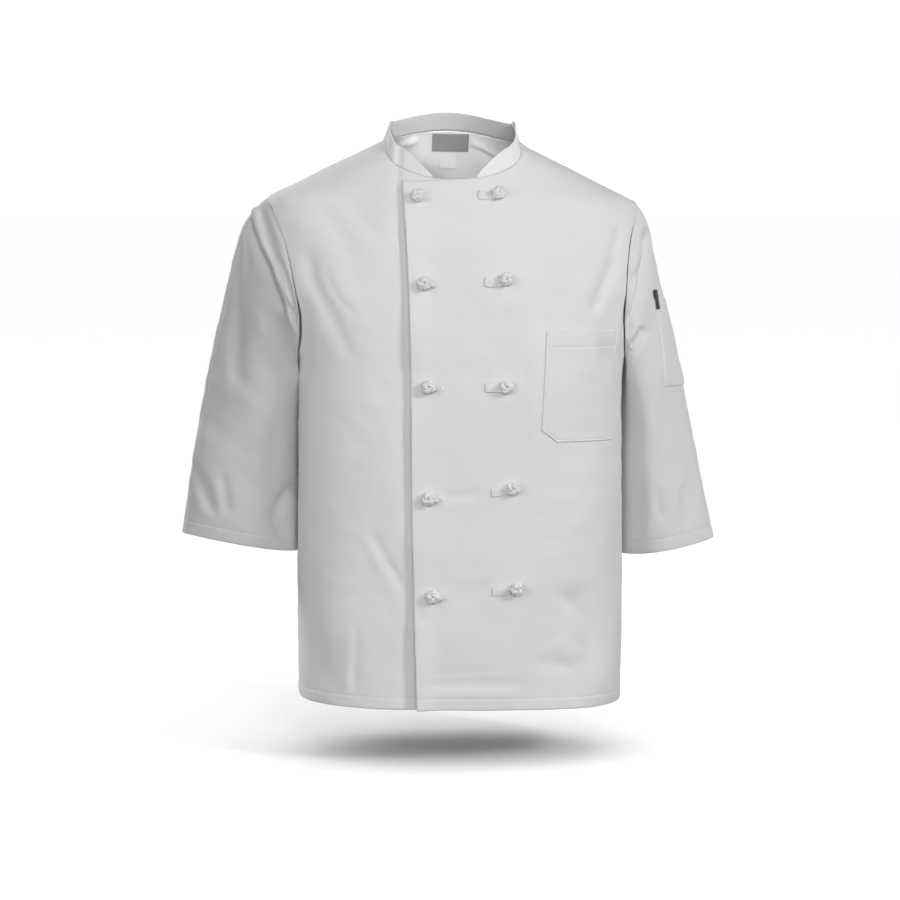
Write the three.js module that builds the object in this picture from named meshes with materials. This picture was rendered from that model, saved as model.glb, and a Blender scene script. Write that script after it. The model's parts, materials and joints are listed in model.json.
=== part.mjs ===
// Chef jacket with three-quarter sleeves, double breasted, closed with knotted cloth buttons.
// It is filled out as if worn, hollow, and open at the neck, hem and cuffs.
// Millimetres. +Z up, +X to the wearer's left, +Y to the wearer's back.
// The origin lies between the two points where the shoulder seams reach the neck, which carry the weight.
import * as THREE from "three";

// Driving dimensions
const CLOTH = 1.6; // body cloth with its seam allowances
const COLLAR_CLOTH = 2.2; // two layers and interfacing
const PATCH_CLOTH = 1.2;
const SEAM_GAP = 0.3;
const PATCH_GAP = 0.8; // from a panel to what is sewn flat on it
const HEM_Z = -734;
const ARMPIT_Z = -282;
const SHOULDER_TIP_Z = -74;
const BACK_NECK_RISE = 15;
const FRONT_NECK_DROP = 49;
const COLLAR_HEIGHT = 27;
const LEAN = 0.018; // it hangs a little lower on the wearer's left
const QUARTER = Math.PI / 2;
const DEGREE = Math.PI / 180;
const ARMHOLE = { front: 32 * DEGREE, back: 29 * DEGREE };
const SIDES = { right: -1, left: 1 }; // the wearer's right is -X
const FRONT_EDGE_OF = { right: "inner", left: "outer" }; // the left front laps over the right one

// The torso's level sections: half width, depth to the front and back, sideways shift, and how square
// the front and back halves are
const SECTIONS = [
  { z: 24, half: 68, front: 36, back: 60, mid: -5, squareFront: 2.05, squareBack: 2.05 },
  { z: 10, half: 80, front: 45, back: 69, mid: -5, squareFront: 2.05, squareBack: 2.05 },
  { z: 0, half: 90, front: 51, back: 76, mid: -5, squareFront: 2.05, squareBack: 2.05 },
  { z: -14, half: 117, front: 58, back: 84, mid: -5, squareFront: 1.98, squareBack: 1.98 },
  { z: -34, half: 159, front: 66, back: 93, mid: -5, squareFront: 1.9, squareBack: 1.9 },
  { z: -54, half: 198, front: 75, back: 101, mid: -4, squareFront: 1.88, squareBack: 1.88 },
  { z: -74, half: 238, front: 85, back: 107, mid: -3, squareFront: 1.92, squareBack: 1.92 },
  { z: -92, half: 250, front: 93, back: 111, mid: -2, squareFront: 2.02, squareBack: 2.02 },
  { z: -120, half: 254, front: 103, back: 115, mid: -1, squareFront: 2.2, squareBack: 2.14 },
  { z: -180, half: 250, front: 115, back: 119, mid: 2, squareFront: 2.45, squareBack: 2.26 },
  { z: -240, half: 229, front: 122, back: 118, mid: 5, squareFront: 2.75, squareBack: 2.3 },
  { z: -282, half: 217, front: 125, back: 115, mid: 6, squareFront: 2.9, squareBack: 2.3 },
  { z: -400, half: 214, front: 128, back: 107, mid: 6, squareFront: 2.9, squareBack: 2.3 },
  { z: -560, half: 216, front: 131, back: 113, mid: 6, squareFront: 2.9, squareBack: 2.3 },
  { z: -760, half: 214, front: 135, back: 123, mid: 5, squareFront: 2.9, squareBack: 2.3 },
];

// The front edges: x of the outer front's edge and of the inner front's edge
const FRONT_EDGES = [
  { z: -40, outer: -75, inner: 70 },
  { z: -230, outer: -68, inner: 77 },
  { z: -480, outer: -66, inner: 85 },
  { z: -760, outer: -60, inner: 93 },
];

// The sleeve, from armhole (0) to cuff (1): its outer line, its inner line and its depth either way.
// The wearer's right sleeve hangs further out than this by the hang, and the left sleeve less far.
const SLEEVE = [
  { along: 0, outerX: 236, outerZ: -74, innerX: 217, innerZ: -282, depth: 66, back: 0, hang: 0 },
  { along: 0.05, outerX: 250, outerZ: -86, innerX: 219, innerZ: -296, depth: 67, back: 1, hang: 2 },
  { along: 0.1, outerX: 265, outerZ: -110, innerX: 219, innerZ: -309, depth: 67, back: 3, hang: 7 },
  { along: 0.17, outerX: 275, outerZ: -142, innerX: 219, innerZ: -327, depth: 66, back: 6, hang: 10 },
  { along: 0.36, outerX: 297, outerZ: -225, innerX: 218, innerZ: -377, depth: 64, back: 13, hang: 11 },
  { along: 0.64, outerX: 325, outerZ: -352, innerX: 217, innerZ: -451, depth: 62, back: 19, hang: 10 },
  { along: 1, outerX: 357, outerZ: -524, innerX: 218, innerZ: -548, depth: 60, back: 24, hang: 6 },
];
// How the inner line and the depth of each sleeve differ from the table's
const SLEEVE_FIT = {
  right: { inner: -13, depth: -7 },
  left: { inner: 5, depth: 7 },
};
const TUCK = 22; // how far each sleeve's inner line lies back behind the body's widest point
const SKEW = 0.35; // how much fuller a sleeve's front is towards the body than at its outer line
const SLEEVE_ROWS = [0, 0.025, 0.05, 0.08, 0.12, 0.17, 0.22, 0.28, 0.34, 0.4, 0.46, 0.52];
SLEEVE_ROWS.push(0.58, 0.64, 0.7, 0.76, 0.82, 0.88, 0.94, 1);
const ARMHOLE_STEPS = 14; // grid steps from shoulder tip to armpit, on the panels and the sleeve alike

// Folds seen from the front or back: a line from (x0, z0) to (x1, z1), bowed sideways, with a
// Gaussian half width and a depth that is negative for a trough
const FRONT_FOLDS = [
  { x0: -200, z0: -150, x1: -152, z1: -262, bow: 5, width: 15, depth: -4 },
  { x0: -196, z0: -74, x1: -138, z1: -220, bow: 8, width: 17, depth: -3 },
  { x0: -196, z0: -560, x1: -176, z1: -726, bow: 3, width: 14, depth: -3 },
  { x0: 206, z0: -140, x1: 166, z1: -226, bow: -4, width: 15, depth: -3.5 },
  { x0: 140, z0: -570, x1: 184, z1: -700, bow: 6, width: 20, depth: -3.5 },
  { x0: -66, z0: -702, x1: 80, z1: -700, bow: 4, width: 10, depth: -2.5 },
];
const BACK_FOLDS = [
  { x0: -196, z0: -170, x1: -120, z1: -330, bow: 6, width: 18, depth: -4 },
  { x0: 196, z0: -165, x1: 112, z1: -345, bow: -6, width: 18, depth: -4.5 },
  { x0: -70, z0: -90, x1: -84, z1: -420, bow: 4, width: 24, depth: -3 },
  { x0: 74, z0: -100, x1: 90, z1: -470, bow: -4, width: 26, depth: -3 },
  { x0: -150, z0: -480, x1: -128, z1: -720, bow: 3, width: 24, depth: -4 },
  { x0: 146, z0: -460, x1: 132, z1: -720, bow: -3, width: 26, depth: -4 },
];
const SLEEVE_FOLDS = {
  right: [
    { x0: -272, z0: -104, x1: -222, z1: -268, bow: 5, width: 13, depth: -5.5 },
    { x0: -300, z0: -130, x1: -293, z1: -375, bow: 3, width: 15, depth: -4 },
    { x0: -352, z0: -425, x1: -322, z1: -512, bow: 3, width: 13, depth: -3 },
  ],
  left: [
    { x0: 266, z0: -112, x1: 222, z1: -276, bow: -10, width: 13, depth: -5.5 },
    { x0: 236, z0: -320, x1: 240, z1: -530, bow: 1, width: 14, depth: -4 },
    { x0: 322, z0: -430, x1: 304, z1: -512, bow: -2, width: 13, depth: -3 },
  ],
};

// Buttons: the knots that come through the outer front, and the sewn ones beside their tabs
const BUTTON_ROWS = [
  { throughX: -54.5, throughZ: -74, sewnX: 49.5, sewnZ: -69, tilt: 0, tabFall: 0, tabGap: 8 },
  { throughX: -49, throughZ: -183, sewnX: 56, sewnZ: -176, tilt: 0, tabFall: 3.5, tabGap: 8.5 },
  { throughX: -44.5, throughZ: -314, sewnX: 55.5, sewnZ: -313, tilt: 0, tabFall: 1, tabGap: 8.5 },
  { throughX: -45, throughZ: -458, sewnX: 64.5, sewnZ: -444, tilt: 12, tabFall: 0, tabGap: 9 },
  { throughX: -40, throughZ: -585, sewnX: 68.5, sewnZ: -574, tilt: 10, tabFall: -1, tabGap: 12 },
];
const KNOT = { width: 18, height: 18, depth: 12.5 };
const TAB = { length: 19, height: 13, thick: 1.8 };
// Pockets: angles (on the torso) or turns (on the sleeve) of their edges, at their top and bottom
const CHEST_POCKET = {
  front: { top: 19.5 * DEGREE, bottom: 17.8 * DEGREE },
  side: { top: 58.7 * DEGREE, bottom: 66.1 * DEGREE },
  top: -241,
  bottom: -385,
  corner: 16,
};
const SLEEVE_POCKET = {
  side: { top: 8 * DEGREE, bottom: 8 * DEGREE },
  front: { top: 53 * DEGREE, bottom: 69 * DEGREE },
  top: -203,
  bottom: -318,
};
const SLEEVE_LABEL = {
  side: { top: 43 * DEGREE, bottom: 47 * DEGREE },
  front: { top: 51 * DEGREE, bottom: 55 * DEGREE },
  top: -190,
  bottom: -216,
  thick: 0.8,
};
const NECK_LABEL = { x: -0.5, width: 50, top: 11, height: 23.5, thick: 0.6 };
const SIZE_LABEL = { x: -2, width: 24, top: -13, height: 22, thick: 0.5 };

const clamp = (value, low, high) => Math.min(high, Math.max(low, value));
const mix = (a, b, share) => a + (b - a) * share;
const smooth = (value) => {
  const t = clamp(value, 0, 1);
  return t * t * (3 - 2 * t);
};
const range = (steps, from = 0, to = 1) =>
  Array.from({ length: steps + 1 }, (_, i) => mix(from, to, i / steps));

// Reads one column of a table between its rows, along a smooth curve
function read(table, key, at, column) {
  const last = table.length - 1;
  const rising = table[last][key] > table[0][key];
  let i = table.findIndex((row) => (rising ? row[key] > at : row[key] < at)) - 1;
  if (i === -2) i = last - 1;
  i = clamp(i, 0, last - 1);
  const [a, b] = [table[i], table[i + 1]];
  const slope = (from, to) => (to[column] - from[column]) / (to[key] - from[key]);
  const inner = slope(a, b);
  const before = i > 0 ? (slope(table[i - 1], a) + inner) / 2 : inner;
  const after = i < last - 1 ? (inner + slope(b, table[i + 2])) / 2 : inner;
  const step = b[key] - a[key];
  const t = clamp((at - a[key]) / step, 0, 1);
  return (
    a[column] * (1 + 2 * t) * (1 - t) ** 2 +
    b[column] * t * t * (3 - 2 * t) +
    before * step * t * (1 - t) ** 2 -
    after * step * t * t * (1 - t)
  );
}

// How far a list of folds moves the cloth at a place seen from the front or back
function foldDepth(folds, x, z) {
  let depth = 0;
  for (const f of folds) {
    const [dx, dz] = [f.x1 - f.x0, f.z1 - f.z0];
    const length = Math.hypot(dx, dz);
    const t = ((x - f.x0) * dx + (z - f.z0) * dz) / length ** 2;
    if (t <= 0 || t >= 1) continue;
    const off = ((x - f.x0) * dz - (z - f.z0) * dx) / length - f.bow * 4 * t * (1 - t);
    depth += f.depth * smooth(4 * t) * smooth(4 * (1 - t)) * Math.exp(-((off / f.width) ** 2));
  }
  return depth;
}

// Unit normal of a surface, from small steps along its two directions
function normalOf(surface, a, b, stepA, stepB) {
  const along = surface(a + stepA, b).sub(surface(a - stepA, b));
  const up = surface(a, b + stepB).sub(surface(a, b - stepB));
  return along.cross(up).normalize();
}

// The torso: angle 0 at the centre front, a quarter turn at the wearer's left side
const power = (value, exponent) => Math.sign(value) * Math.abs(value) ** exponent;

function torsoForm(angle, z) {
  const ahead = Math.cos(angle) > 0;
  const bend = 2 / read(SECTIONS, "z", z, ahead ? "squareFront" : "squareBack");
  const [across, deep] = [power(Math.sin(angle), bend), power(Math.cos(angle), bend)];
  const depth = read(SECTIONS, "z", z, ahead ? "front" : "back");
  const x = read(SECTIONS, "z", z, "mid") + read(SECTIONS, "z", z, "half") * across;
  return new THREE.Vector3(x, -depth * deep, z);
}

// The angle at which one half of the form has this x, measured from that half's middle
function angleAt(x, z, half = "squareFront") {
  const share = (x - read(SECTIONS, "z", z, "mid")) / read(SECTIONS, "z", z, "half");
  return Math.asin(clamp(power(share, read(SECTIONS, "z", z, half) / 2), -1, 1));
}

const STEP_ANGLE = 0.004;
const STEP_MM = 0.5;
const STEP_SHARE = 0.004;
const formNormal = (angle, z) => normalOf(torsoForm, angle, z, STEP_ANGLE, STEP_MM);

// The torso's outer surface, with its folds and how far a layer lies out from the form
function torsoSkin(layer) {
  return (angle, z) => {
    const point = torsoForm(angle, z);
    const normal = formNormal(angle, z);
    const facing = smooth(Math.abs(normal.y) * 1.6);
    const folds = normal.y < 0 ? FRONT_FOLDS : BACK_FOLDS;
    return point.addScaledVector(normal, foldDepth(folds, point.x, z) * facing + layer(point.x, z));
  };
}

// The fronts overlap: the outer one lies on the inner one, and its free edge lifts a little
const OVERLAP_RISE = 2.4;
const EDGE_LIFT = 2.6;
const UNDER_SINK = 1.2;
const SOFTEN = 26;
const OVERLAP_FALL = 12; // how the neckline falls past the centre front, mm a radian
const PAST_EDGE = 4; // how far beyond the inner front's edge the outer front stays clear of it
const outerLayer = (x, z) => {
  const over = read(FRONT_EDGES, "z", z, "inner") + PAST_EDGE + SOFTEN;
  const lift = read(FRONT_EDGES, "z", z, "outer") + SOFTEN;
  return OVERLAP_RISE * smooth((over - x) / SOFTEN) + EDGE_LIFT * smooth((lift - x) / SOFTEN);
};
const innerLayer = (x, z) => -UNDER_SINK * smooth((x - read(FRONT_EDGES, "z", z, "outer") + SOFTEN) / SOFTEN);
const plainLayer = () => 0;

// Rows of the body panels at their side edge: side seam, armhole, then shoulder seam
const armholeZ = (turn) => mix(ARMPIT_Z, SHOULDER_TIP_Z, (1 + Math.cos(turn)) / 2);
const SIDE_STEPS = 12; // grid steps along the side seam
const SHOULDER_STEPS = 5; // and along the shoulder seam
const PANEL_ROWS = [
  ...range(SIDE_STEPS, HEM_Z, ARMPIT_Z).slice(0, -1).map((z) => ({ z, notch: 0 })),
  ...range(ARMHOLE_STEPS, Math.PI, 0).map((turn) => ({ z: armholeZ(turn), notch: Math.sin(turn) })),
  ...range(SHOULDER_STEPS, SHOULDER_TIP_Z, 0).slice(1).map((z) => ({ z, notch: 0 })),
];
const NOTCH_FADE = 2.5; // how quickly the armhole's shape dies away across a panel

// Height of the neckline, which runs on level past the centre front, where the fronts overlap
function neckZ(angle) {
  const c = Math.cos(angle);
  return c > 0 ? -FRONT_NECK_DROP * c ** 3 : BACK_NECK_RISE * c * c;
}
const frontTopZ = (angle) => (angle > 0 ? neckZ(angle) : -FRONT_NECK_DROP + OVERLAP_FALL * angle);

// Angles along the top of a front panel, from its free edge to the shoulder seam
const FRONT_COLUMNS = { left: 18, right: 20 };
function frontTop(name) {
  const [side, column] = [SIDES[name], FRONT_EDGE_OF[name]];
  let edge = 0;
  for (let i = 0; i < 12; i++) {
    const z = frontTopZ(side * edge);
    edge = angleAt(read(FRONT_EDGES, "z", z, column), z);
  }
  return range(FRONT_COLUMNS[name], edge, side * QUARTER);
}

function frontPlaces(name) {
  const [side, column, top] = [SIDES[name], FRONT_EDGE_OF[name], frontTop(name)];
  return PANEL_ROWS.map((row) => {
    const height = (angle) => mix(HEM_Z, frontTopZ(side * angle), 1 - row.z / HEM_Z);
    const edgeZ = height(top[0]);
    const edge = angleAt(read(FRONT_EDGES, "z", edgeZ, column), edgeZ);
    return top.map((angle, i) => {
      const across = i / FRONT_COLUMNS[name];
      const notch = side * row.notch * ARMHOLE.front * across ** NOTCH_FADE;
      return [mix(edge, side * QUARTER, across) - notch, height(angle)];
    });
  });
}

const BACK_COLUMNS = 24;
function backPlaces(steps) {
  return PANEL_ROWS.map((row) =>
    range(steps, -1, 1).map((across) => {
      const top = neckZ(Math.PI - across * QUARTER);
      const z = mix(HEM_Z, top, 1 - row.z / HEM_Z);
      const notch = Math.sign(across) * row.notch * ARMHOLE.back * Math.abs(across) ** NOTCH_FADE;
      return [Math.PI - across * QUARTER + notch, z];
    }),
  );
}

// The sleeve: turn 0 along its outer line, a quarter turn at its front, half a turn at its inner line
function sleeveForm(side, turn, along) {
  const fit = SLEEVE_FIT[side > 0 ? "left" : "right"];
  const grown = smooth(along / 0.36);
  const ring = (at, c, s, share) => {
    const value = (column) => read(SLEEVE, "along", at, column);
    const [outer, inner] = [value("outerX") - side * value("hang"), value("innerX") + fit.inner * share];
    const x = mix(inner, outer, (1 + c) / 2);
    const z = mix(value("innerZ"), value("outerZ"), (1 + c) / 2);
    const full = (value("depth") + fit.depth * share) * (s > 0 ? 1 - SKEW * share * c : 1);
    return new THREE.Vector3(side * x, value("back") + (TUCK * share * (1 - c)) / 2 - full * s, z);
  };
  const [c, s] = [Math.cos(turn), Math.sin(turn)];
  const opening = side * (QUARTER - (s > 0 ? ARMHOLE.front : ARMHOLE.back) * s);
  const seam = torsoForm(opening, armholeZ(turn));
  const start = seam.sub(ring(0, c, s, 0)).multiplyScalar(1 - smooth(along / 0.35));
  return ring(along, c, s, grown).add(start);
}

function sleeveSkin(side) {
  const form = (turn, along) => sleeveForm(side, turn, along);
  const [ahead, behind] = side > 0 ? ["left", "right"] : ["right", "left"];
  return (turn, along) => {
    const point = form(turn, along);
    const normal = normalOf(form, turn, along, STEP_ANGLE, STEP_SHARE).multiplyScalar(side);
    const facing = smooth(Math.abs(normal.y) * 1.6) * smooth(along / 0.06);
    const depth =
      normal.y < 0
        ? foldDepth(SLEEVE_FOLDS[ahead], point.x, point.z)
        : foldDepth(SLEEVE_FOLDS[behind], -point.x, point.z);
    return point.addScaledVector(normal, depth * facing);
  };
}

function alongAt(side, turn, z) {
  let [low, high] = [0, 1];
  for (let i = 0; i < 24; i++) {
    const middle = (low + high) / 2;
    if (sleeveForm(side, turn, middle).z > z) low = middle;
    else high = middle;
  }
  return low;
}

// Closed cloth wall from a grid of outer points and the directions that its thickness goes in
function wallGeometry(outer, inward, thickness, wrap) {
  const [rows, columns] = [outer.length, outer[0].length];
  const position = [];
  const index = [];
  for (const row of outer) for (const p of row) position.push(p.x, p.y, p.z - LEAN * p.x);
  outer.forEach((row, j) =>
    row.forEach((p, i) => {
      const q = p.clone().addScaledVector(inward[j][i], thickness);
      position.push(q.x, q.y, q.z - LEAN * q.x);
    }),
  );
  const layer = rows * columns;
  const at = (j, i, deep) => j * columns + (i % columns) + deep * layer;
  const quad = (a, b, c, d) => index.push(a, b, c, a, c, d);
  const spans = wrap ? columns : columns - 1;
  for (let j = 0; j < rows - 1; j++) {
    for (let i = 0; i < spans; i++) {
      quad(at(j, i, 0), at(j, i + 1, 0), at(j + 1, i + 1, 0), at(j + 1, i, 0));
      quad(at(j, i, 1), at(j + 1, i, 1), at(j + 1, i + 1, 1), at(j, i + 1, 1));
    }
    if (!wrap) {
      const last = columns - 1;
      quad(at(j, 0, 0), at(j + 1, 0, 0), at(j + 1, 0, 1), at(j, 0, 1));
      quad(at(j, last, 0), at(j, last, 1), at(j + 1, last, 1), at(j + 1, last, 0));
    }
  }
  for (let i = 0; i < spans; i++) {
    quad(at(0, i, 0), at(0, i, 1), at(0, i + 1, 1), at(0, i + 1, 0));
    quad(at(rows - 1, i, 0), at(rows - 1, i + 1, 0), at(rows - 1, i + 1, 1), at(rows - 1, i, 1));
  }
  const point = (k) => new THREE.Vector3().fromArray(position, 3 * k);
  let volume = 0;
  for (let k = 0; k < index.length; k += 3) {
    volume += point(index[k]).dot(point(index[k + 1]).cross(point(index[k + 2])));
  }
  if (volume < 0) index.reverse();
  const geometry = new THREE.BufferGeometry();
  geometry.setAttribute("position", new THREE.Float32BufferAttribute(position, 3));
  geometry.setIndex(index);
  return geometry;
}

// Draws the border of a grid of points in by half a seam gap, and a tube's first ring by a whole one
function inset(grid, wrap = false) {
  const half = SEAM_GAP / 2;
  const pull = (p, towards, gap = half) => p.add(towards.clone().sub(p).setLength(gap));
  const last = grid.length - 1;
  grid[0].forEach((p, i) => pull(p, grid[1][i], wrap ? SEAM_GAP : half));
  grid[last].forEach((p, i) => pull(p, grid[last - 1][i]));
  if (!wrap) {
    const end = grid[0].length - 1;
    for (const row of grid) {
      pull(row[0], row[1]);
      pull(row[end], row[end - 1]);
    }
  }
  return grid;
}

const MATERIALS = {
  twill: { color: 0xeeeeed, roughness: 0.85, metalness: 0 },
  knot: { color: 0xf0f0ee, roughness: 0.8, metalness: 0 },
  grey_label: { color: 0x8f8f90, roughness: 0.6, metalness: 0 },
  white_label: { color: 0xe4e4e4, roughness: 0.5, metalness: 0 },
  black_label: { color: 0x141415, roughness: 0.55, metalness: 0 },
};
const jacket = new THREE.Group();
function add(name, geometry, finish) {
  const mesh = new THREE.Mesh(geometry, new THREE.MeshStandardMaterial(MATERIALS[finish]));
  mesh.name = name;
  jacket.add(mesh);
}

// A wall over a grid of (a, b) places on a surface
function clothOn(surface, places, options = {}) {
  const { thickness = CLOTH, out = 0, side = 1, wrap = false, seams = true, step = STEP_MM } = options;
  const normals = places.map((row) =>
    row.map(([a, b]) => normalOf(surface, a, b, STEP_ANGLE, step).multiplyScalar(side)),
  );
  const outer = places.map((row, j) =>
    row.map(([a, b], i) => surface(a, b).addScaledVector(normals[j][i], out)),
  );
  const inward = normals.map((row) => row.map((n) => n.clone().negate()));
  if (options.start) inward[0] = inward[0].map(options.start);
  return wallGeometry(seams ? inset(outer, wrap) : outer, inward, thickness, wrap);
}

const patchOn = (surface, places, thickness, options = {}) =>
  clothOn(surface, places, { thickness, out: PATCH_GAP + thickness, seams: false, ...options });

// Body panels
const backSkin = torsoSkin(plainLayer);
const outerSkin = torsoSkin(outerLayer);
const innerSkin = torsoSkin(innerLayer);
add("back", clothOn(backSkin, backPlaces(BACK_COLUMNS)), "twill");
add("right_front", clothOn(innerSkin, frontPlaces("right")), "twill");
add("left_front", clothOn(outerSkin, frontPlaces("left")), "twill");

// Sleeves
for (const [name, side] of Object.entries(SIDES)) {
  const skin = sleeveSkin(side);
  const turns = range(2 * ARMHOLE_STEPS, 0, 2 * Math.PI).slice(0, -1);
  const places = SLEEVE_ROWS.map((along) => turns.map((turn) => [turn, along]));
  // Where the shoulder rounds over the seam, the sleeve's edge is cut square to the body panel
  const start = (own, i) => {
    const s = Math.sin(turns[i]);
    const opening = side * (QUARTER - (s > 0 ? ARMHOLE.front : ARMHOLE.back) * s);
    const body = formNormal(opening, armholeZ(turns[i]));
    const leaving = skin(turns[i], 0.02).sub(skin(turns[i], 0));
    return leaving.dot(body) < 0 ? body.negate() : own;
  };
  add(`${name}_sleeve`, clothOn(skin, places, { side, wrap: true, step: STEP_SHARE, start }), "twill");
}

// Stand collar: a band that follows the neckline from one rounded end round the back to the other
const COLLAR_END = 8 * DEGREE; // it stops short of the centre front by at least this
const COLLAR_ROUND = 46; // length over which each end rounds off
const COLLAR_TIP = 2; // height left at its very end
const COLLAR_LEAN = { front: 10 * DEGREE, back: 30 * DEGREE };
const collarAngles = [
  ...frontTop("left").filter((angle) => angle > COLLAR_END),
  ...range(BACK_COLUMNS, QUARTER, 3 * QUARTER).slice(1, -1),
  ...frontTop("right")
    .filter((angle) => angle < -COLLAR_END)
    .map((angle) => angle + 4 * QUARTER)
    .reverse(),
];
const collarFrom = collarAngles[0];
const collarTo = collarAngles.at(-1);
function neckPoint(angle) {
  const skin = angle < QUARTER ? outerSkin : angle > 3 * QUARTER ? innerSkin : backSkin;
  return skin(angle, neckZ(angle));
}
function collarHeight(angle) {
  const end = angle < Math.PI ? neckPoint(collarFrom) : neckPoint(collarTo);
  const share = clamp(neckPoint(angle).distanceTo(end) / COLLAR_ROUND, 0, 1);
  return COLLAR_TIP + (COLLAR_HEIGHT - COLLAR_TIP) * (1 - (1 - share) ** 1.6);
}
function collarSkin(angle, up) {
  const base = neckPoint(angle);
  const along = neckPoint(angle + 0.02).sub(neckPoint(angle - 0.02));
  const inward = new THREE.Vector3(-along.y, along.x, 0).normalize();
  const lean = mix(COLLAR_LEAN.front, COLLAR_LEAN.back, smooth((1.2 - Math.cos(angle)) / 2.2));
  const height = SEAM_GAP + collarHeight(angle) * up;
  return base.addScaledVector(inward, Math.sin(lean) * height).setZ(base.z + Math.cos(lean) * height);
}
const collarPlaces = range(3).map((up) => collarAngles.map((angle) => [angle, up]));
const collarOptions = { thickness: COLLAR_CLOTH, seams: false, step: 0.02 };
add("collar", clothOn(collarSkin, collarPlaces, collarOptions), "twill");

// Rows of a patch from its bottom to its top, between its two edges
function patchRows(patch, down, across, place) {
  return range(down).map((up) => {
    const [from, to] = [patch.side, patch.front].map((edge) => mix(edge.bottom, edge.top, up));
    return range(across, from, to).map((a) => place(a, mix(patch.bottom, patch.top, up)));
  });
}

// Chest pocket with clipped lower corners
const CHEST_RADIUS = 140; // turns the clip from millimetres into an angle
const chestPlaces = patchRows(CHEST_POCKET, 9, 8, (angle, z) => {
  const middle = (CHEST_POCKET.front.top + CHEST_POCKET.side.top) / 2;
  const clip = clamp(CHEST_POCKET.bottom + CHEST_POCKET.corner - z, 0, CHEST_POCKET.corner) / CHEST_RADIUS;
  const half = (CHEST_POCKET.side.top - CHEST_POCKET.front.top) / 2;
  return [middle + (angle - middle) * (1 - clip / half), z];
});
add("chest_pocket", patchOn(outerSkin, chestPlaces, PATCH_CLOTH), "twill");

// Sleeve pocket and its folded label, on the wearer's left sleeve
const leftSleeve = sleeveSkin(SIDES.left);
const onSleeve = (turn, z) => [turn, alongAt(SIDES.left, turn, z)];
add(
  "sleeve_pocket",
  patchOn(leftSleeve, patchRows(SLEEVE_POCKET, 8, 6, onSleeve), PATCH_CLOTH, { step: STEP_SHARE }),
  "twill",
);
add(
  "sleeve_label",
  clothOn(leftSleeve, patchRows(SLEEVE_LABEL, 3, 2, onSleeve), {
    thickness: SLEEVE_LABEL.thick,
    out: 2 * PATCH_GAP + PATCH_CLOTH + SLEEVE_LABEL.thick,
    seams: false,
    step: STEP_SHARE,
  }),
  "black_label",
);

// Labels inside the back of the neck
function innerLabel(name, size, finish) {
  const backAngle = (x, z) => Math.PI - angleAt(x, z, "squareBack");
  const places = range(3, size.top - size.height, size.top).map((z) =>
    range(4, size.x - size.width / 2, size.x + size.width / 2).map((x) => [backAngle(x, z), z]),
  );
  const out = CLOTH + PATCH_GAP + size.thick;
  add(name, clothOn(backSkin, places, { thickness: size.thick, out, side: -1, seams: false }), finish);
}
innerLabel("neck_label", NECK_LABEL, "grey_label");
innerLabel("size_label", SIZE_LABEL, "white_label");

// Knotted buttons, each a ball of cloth with the bulges of its strands, and the tabs of the sewn ones
function knotGeometry(x, z, tilt) {
  const angle = angleAt(x, z);
  const normal = normalOf(outerSkin, angle, z, STEP_ANGLE, STEP_MM);
  const centre = outerSkin(angle, z).addScaledVector(normal, PATCH_GAP + KNOT.depth / 2);
  const across = new THREE.Vector3(0, 0, 1).cross(normal).normalize();
  const up = normal.clone().cross(across);
  const ball = new THREE.SphereGeometry(0.5, 14, 9).rotateX(QUARTER);
  const spot = ball.getAttribute("position");
  for (let i = 0; i < spot.count; i++) {
    const p = new THREE.Vector3().fromBufferAttribute(spot, i);
    const lobes = 1 + 0.05 * Math.cos(4 * Math.atan2(p.y, p.x)) * Math.hypot(p.x, p.y) * 2;
    p.multiplyScalar(lobes).applyAxisAngle(new THREE.Vector3(0, 0, 1), tilt * DEGREE);
    const q = centre
      .clone()
      .addScaledVector(across, p.x * KNOT.width)
      .addScaledVector(up, p.y * KNOT.height)
      .addScaledVector(normal, p.z * KNOT.depth);
    spot.setXYZ(i, q.x, q.y, q.z - LEAN * q.x);
  }
  return ball;
}

function tabGeometry({ sewnX: x, sewnZ: z, tilt, tabFall, tabGap }) {
  const slope = Math.tan(tilt * DEGREE);
  const places = range(2, -TAB.height / 2, TAB.height / 2).map((up) =>
    range(4, -TAB.length, 0).map((back) => {
      const [px, pz] = [x - tabGap + back, z - tabFall + up + (back - tabGap) * slope];
      return [angleAt(px, pz), pz];
    }),
  );
  return patchOn(outerSkin, places, TAB.thick);
}

BUTTON_ROWS.forEach((row, i) => {
  add(`knot_through_${i + 1}`, knotGeometry(row.throughX, row.throughZ, 0), "knot");
  add(`knot_sewn_${i + 1}`, knotGeometry(row.sewnX, row.sewnZ, row.tilt), "knot");
  add(`tab_${i + 1}`, tabGeometry(row), "knot");
});

export default jacket;
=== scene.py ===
"""Chef jacket in white cotton and polyester twill, filled out as if worn, dressed on its CAD frame."""
import json
import logging
import math
from dataclasses import dataclass, field
from enum import Enum
from typing import Callable

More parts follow.
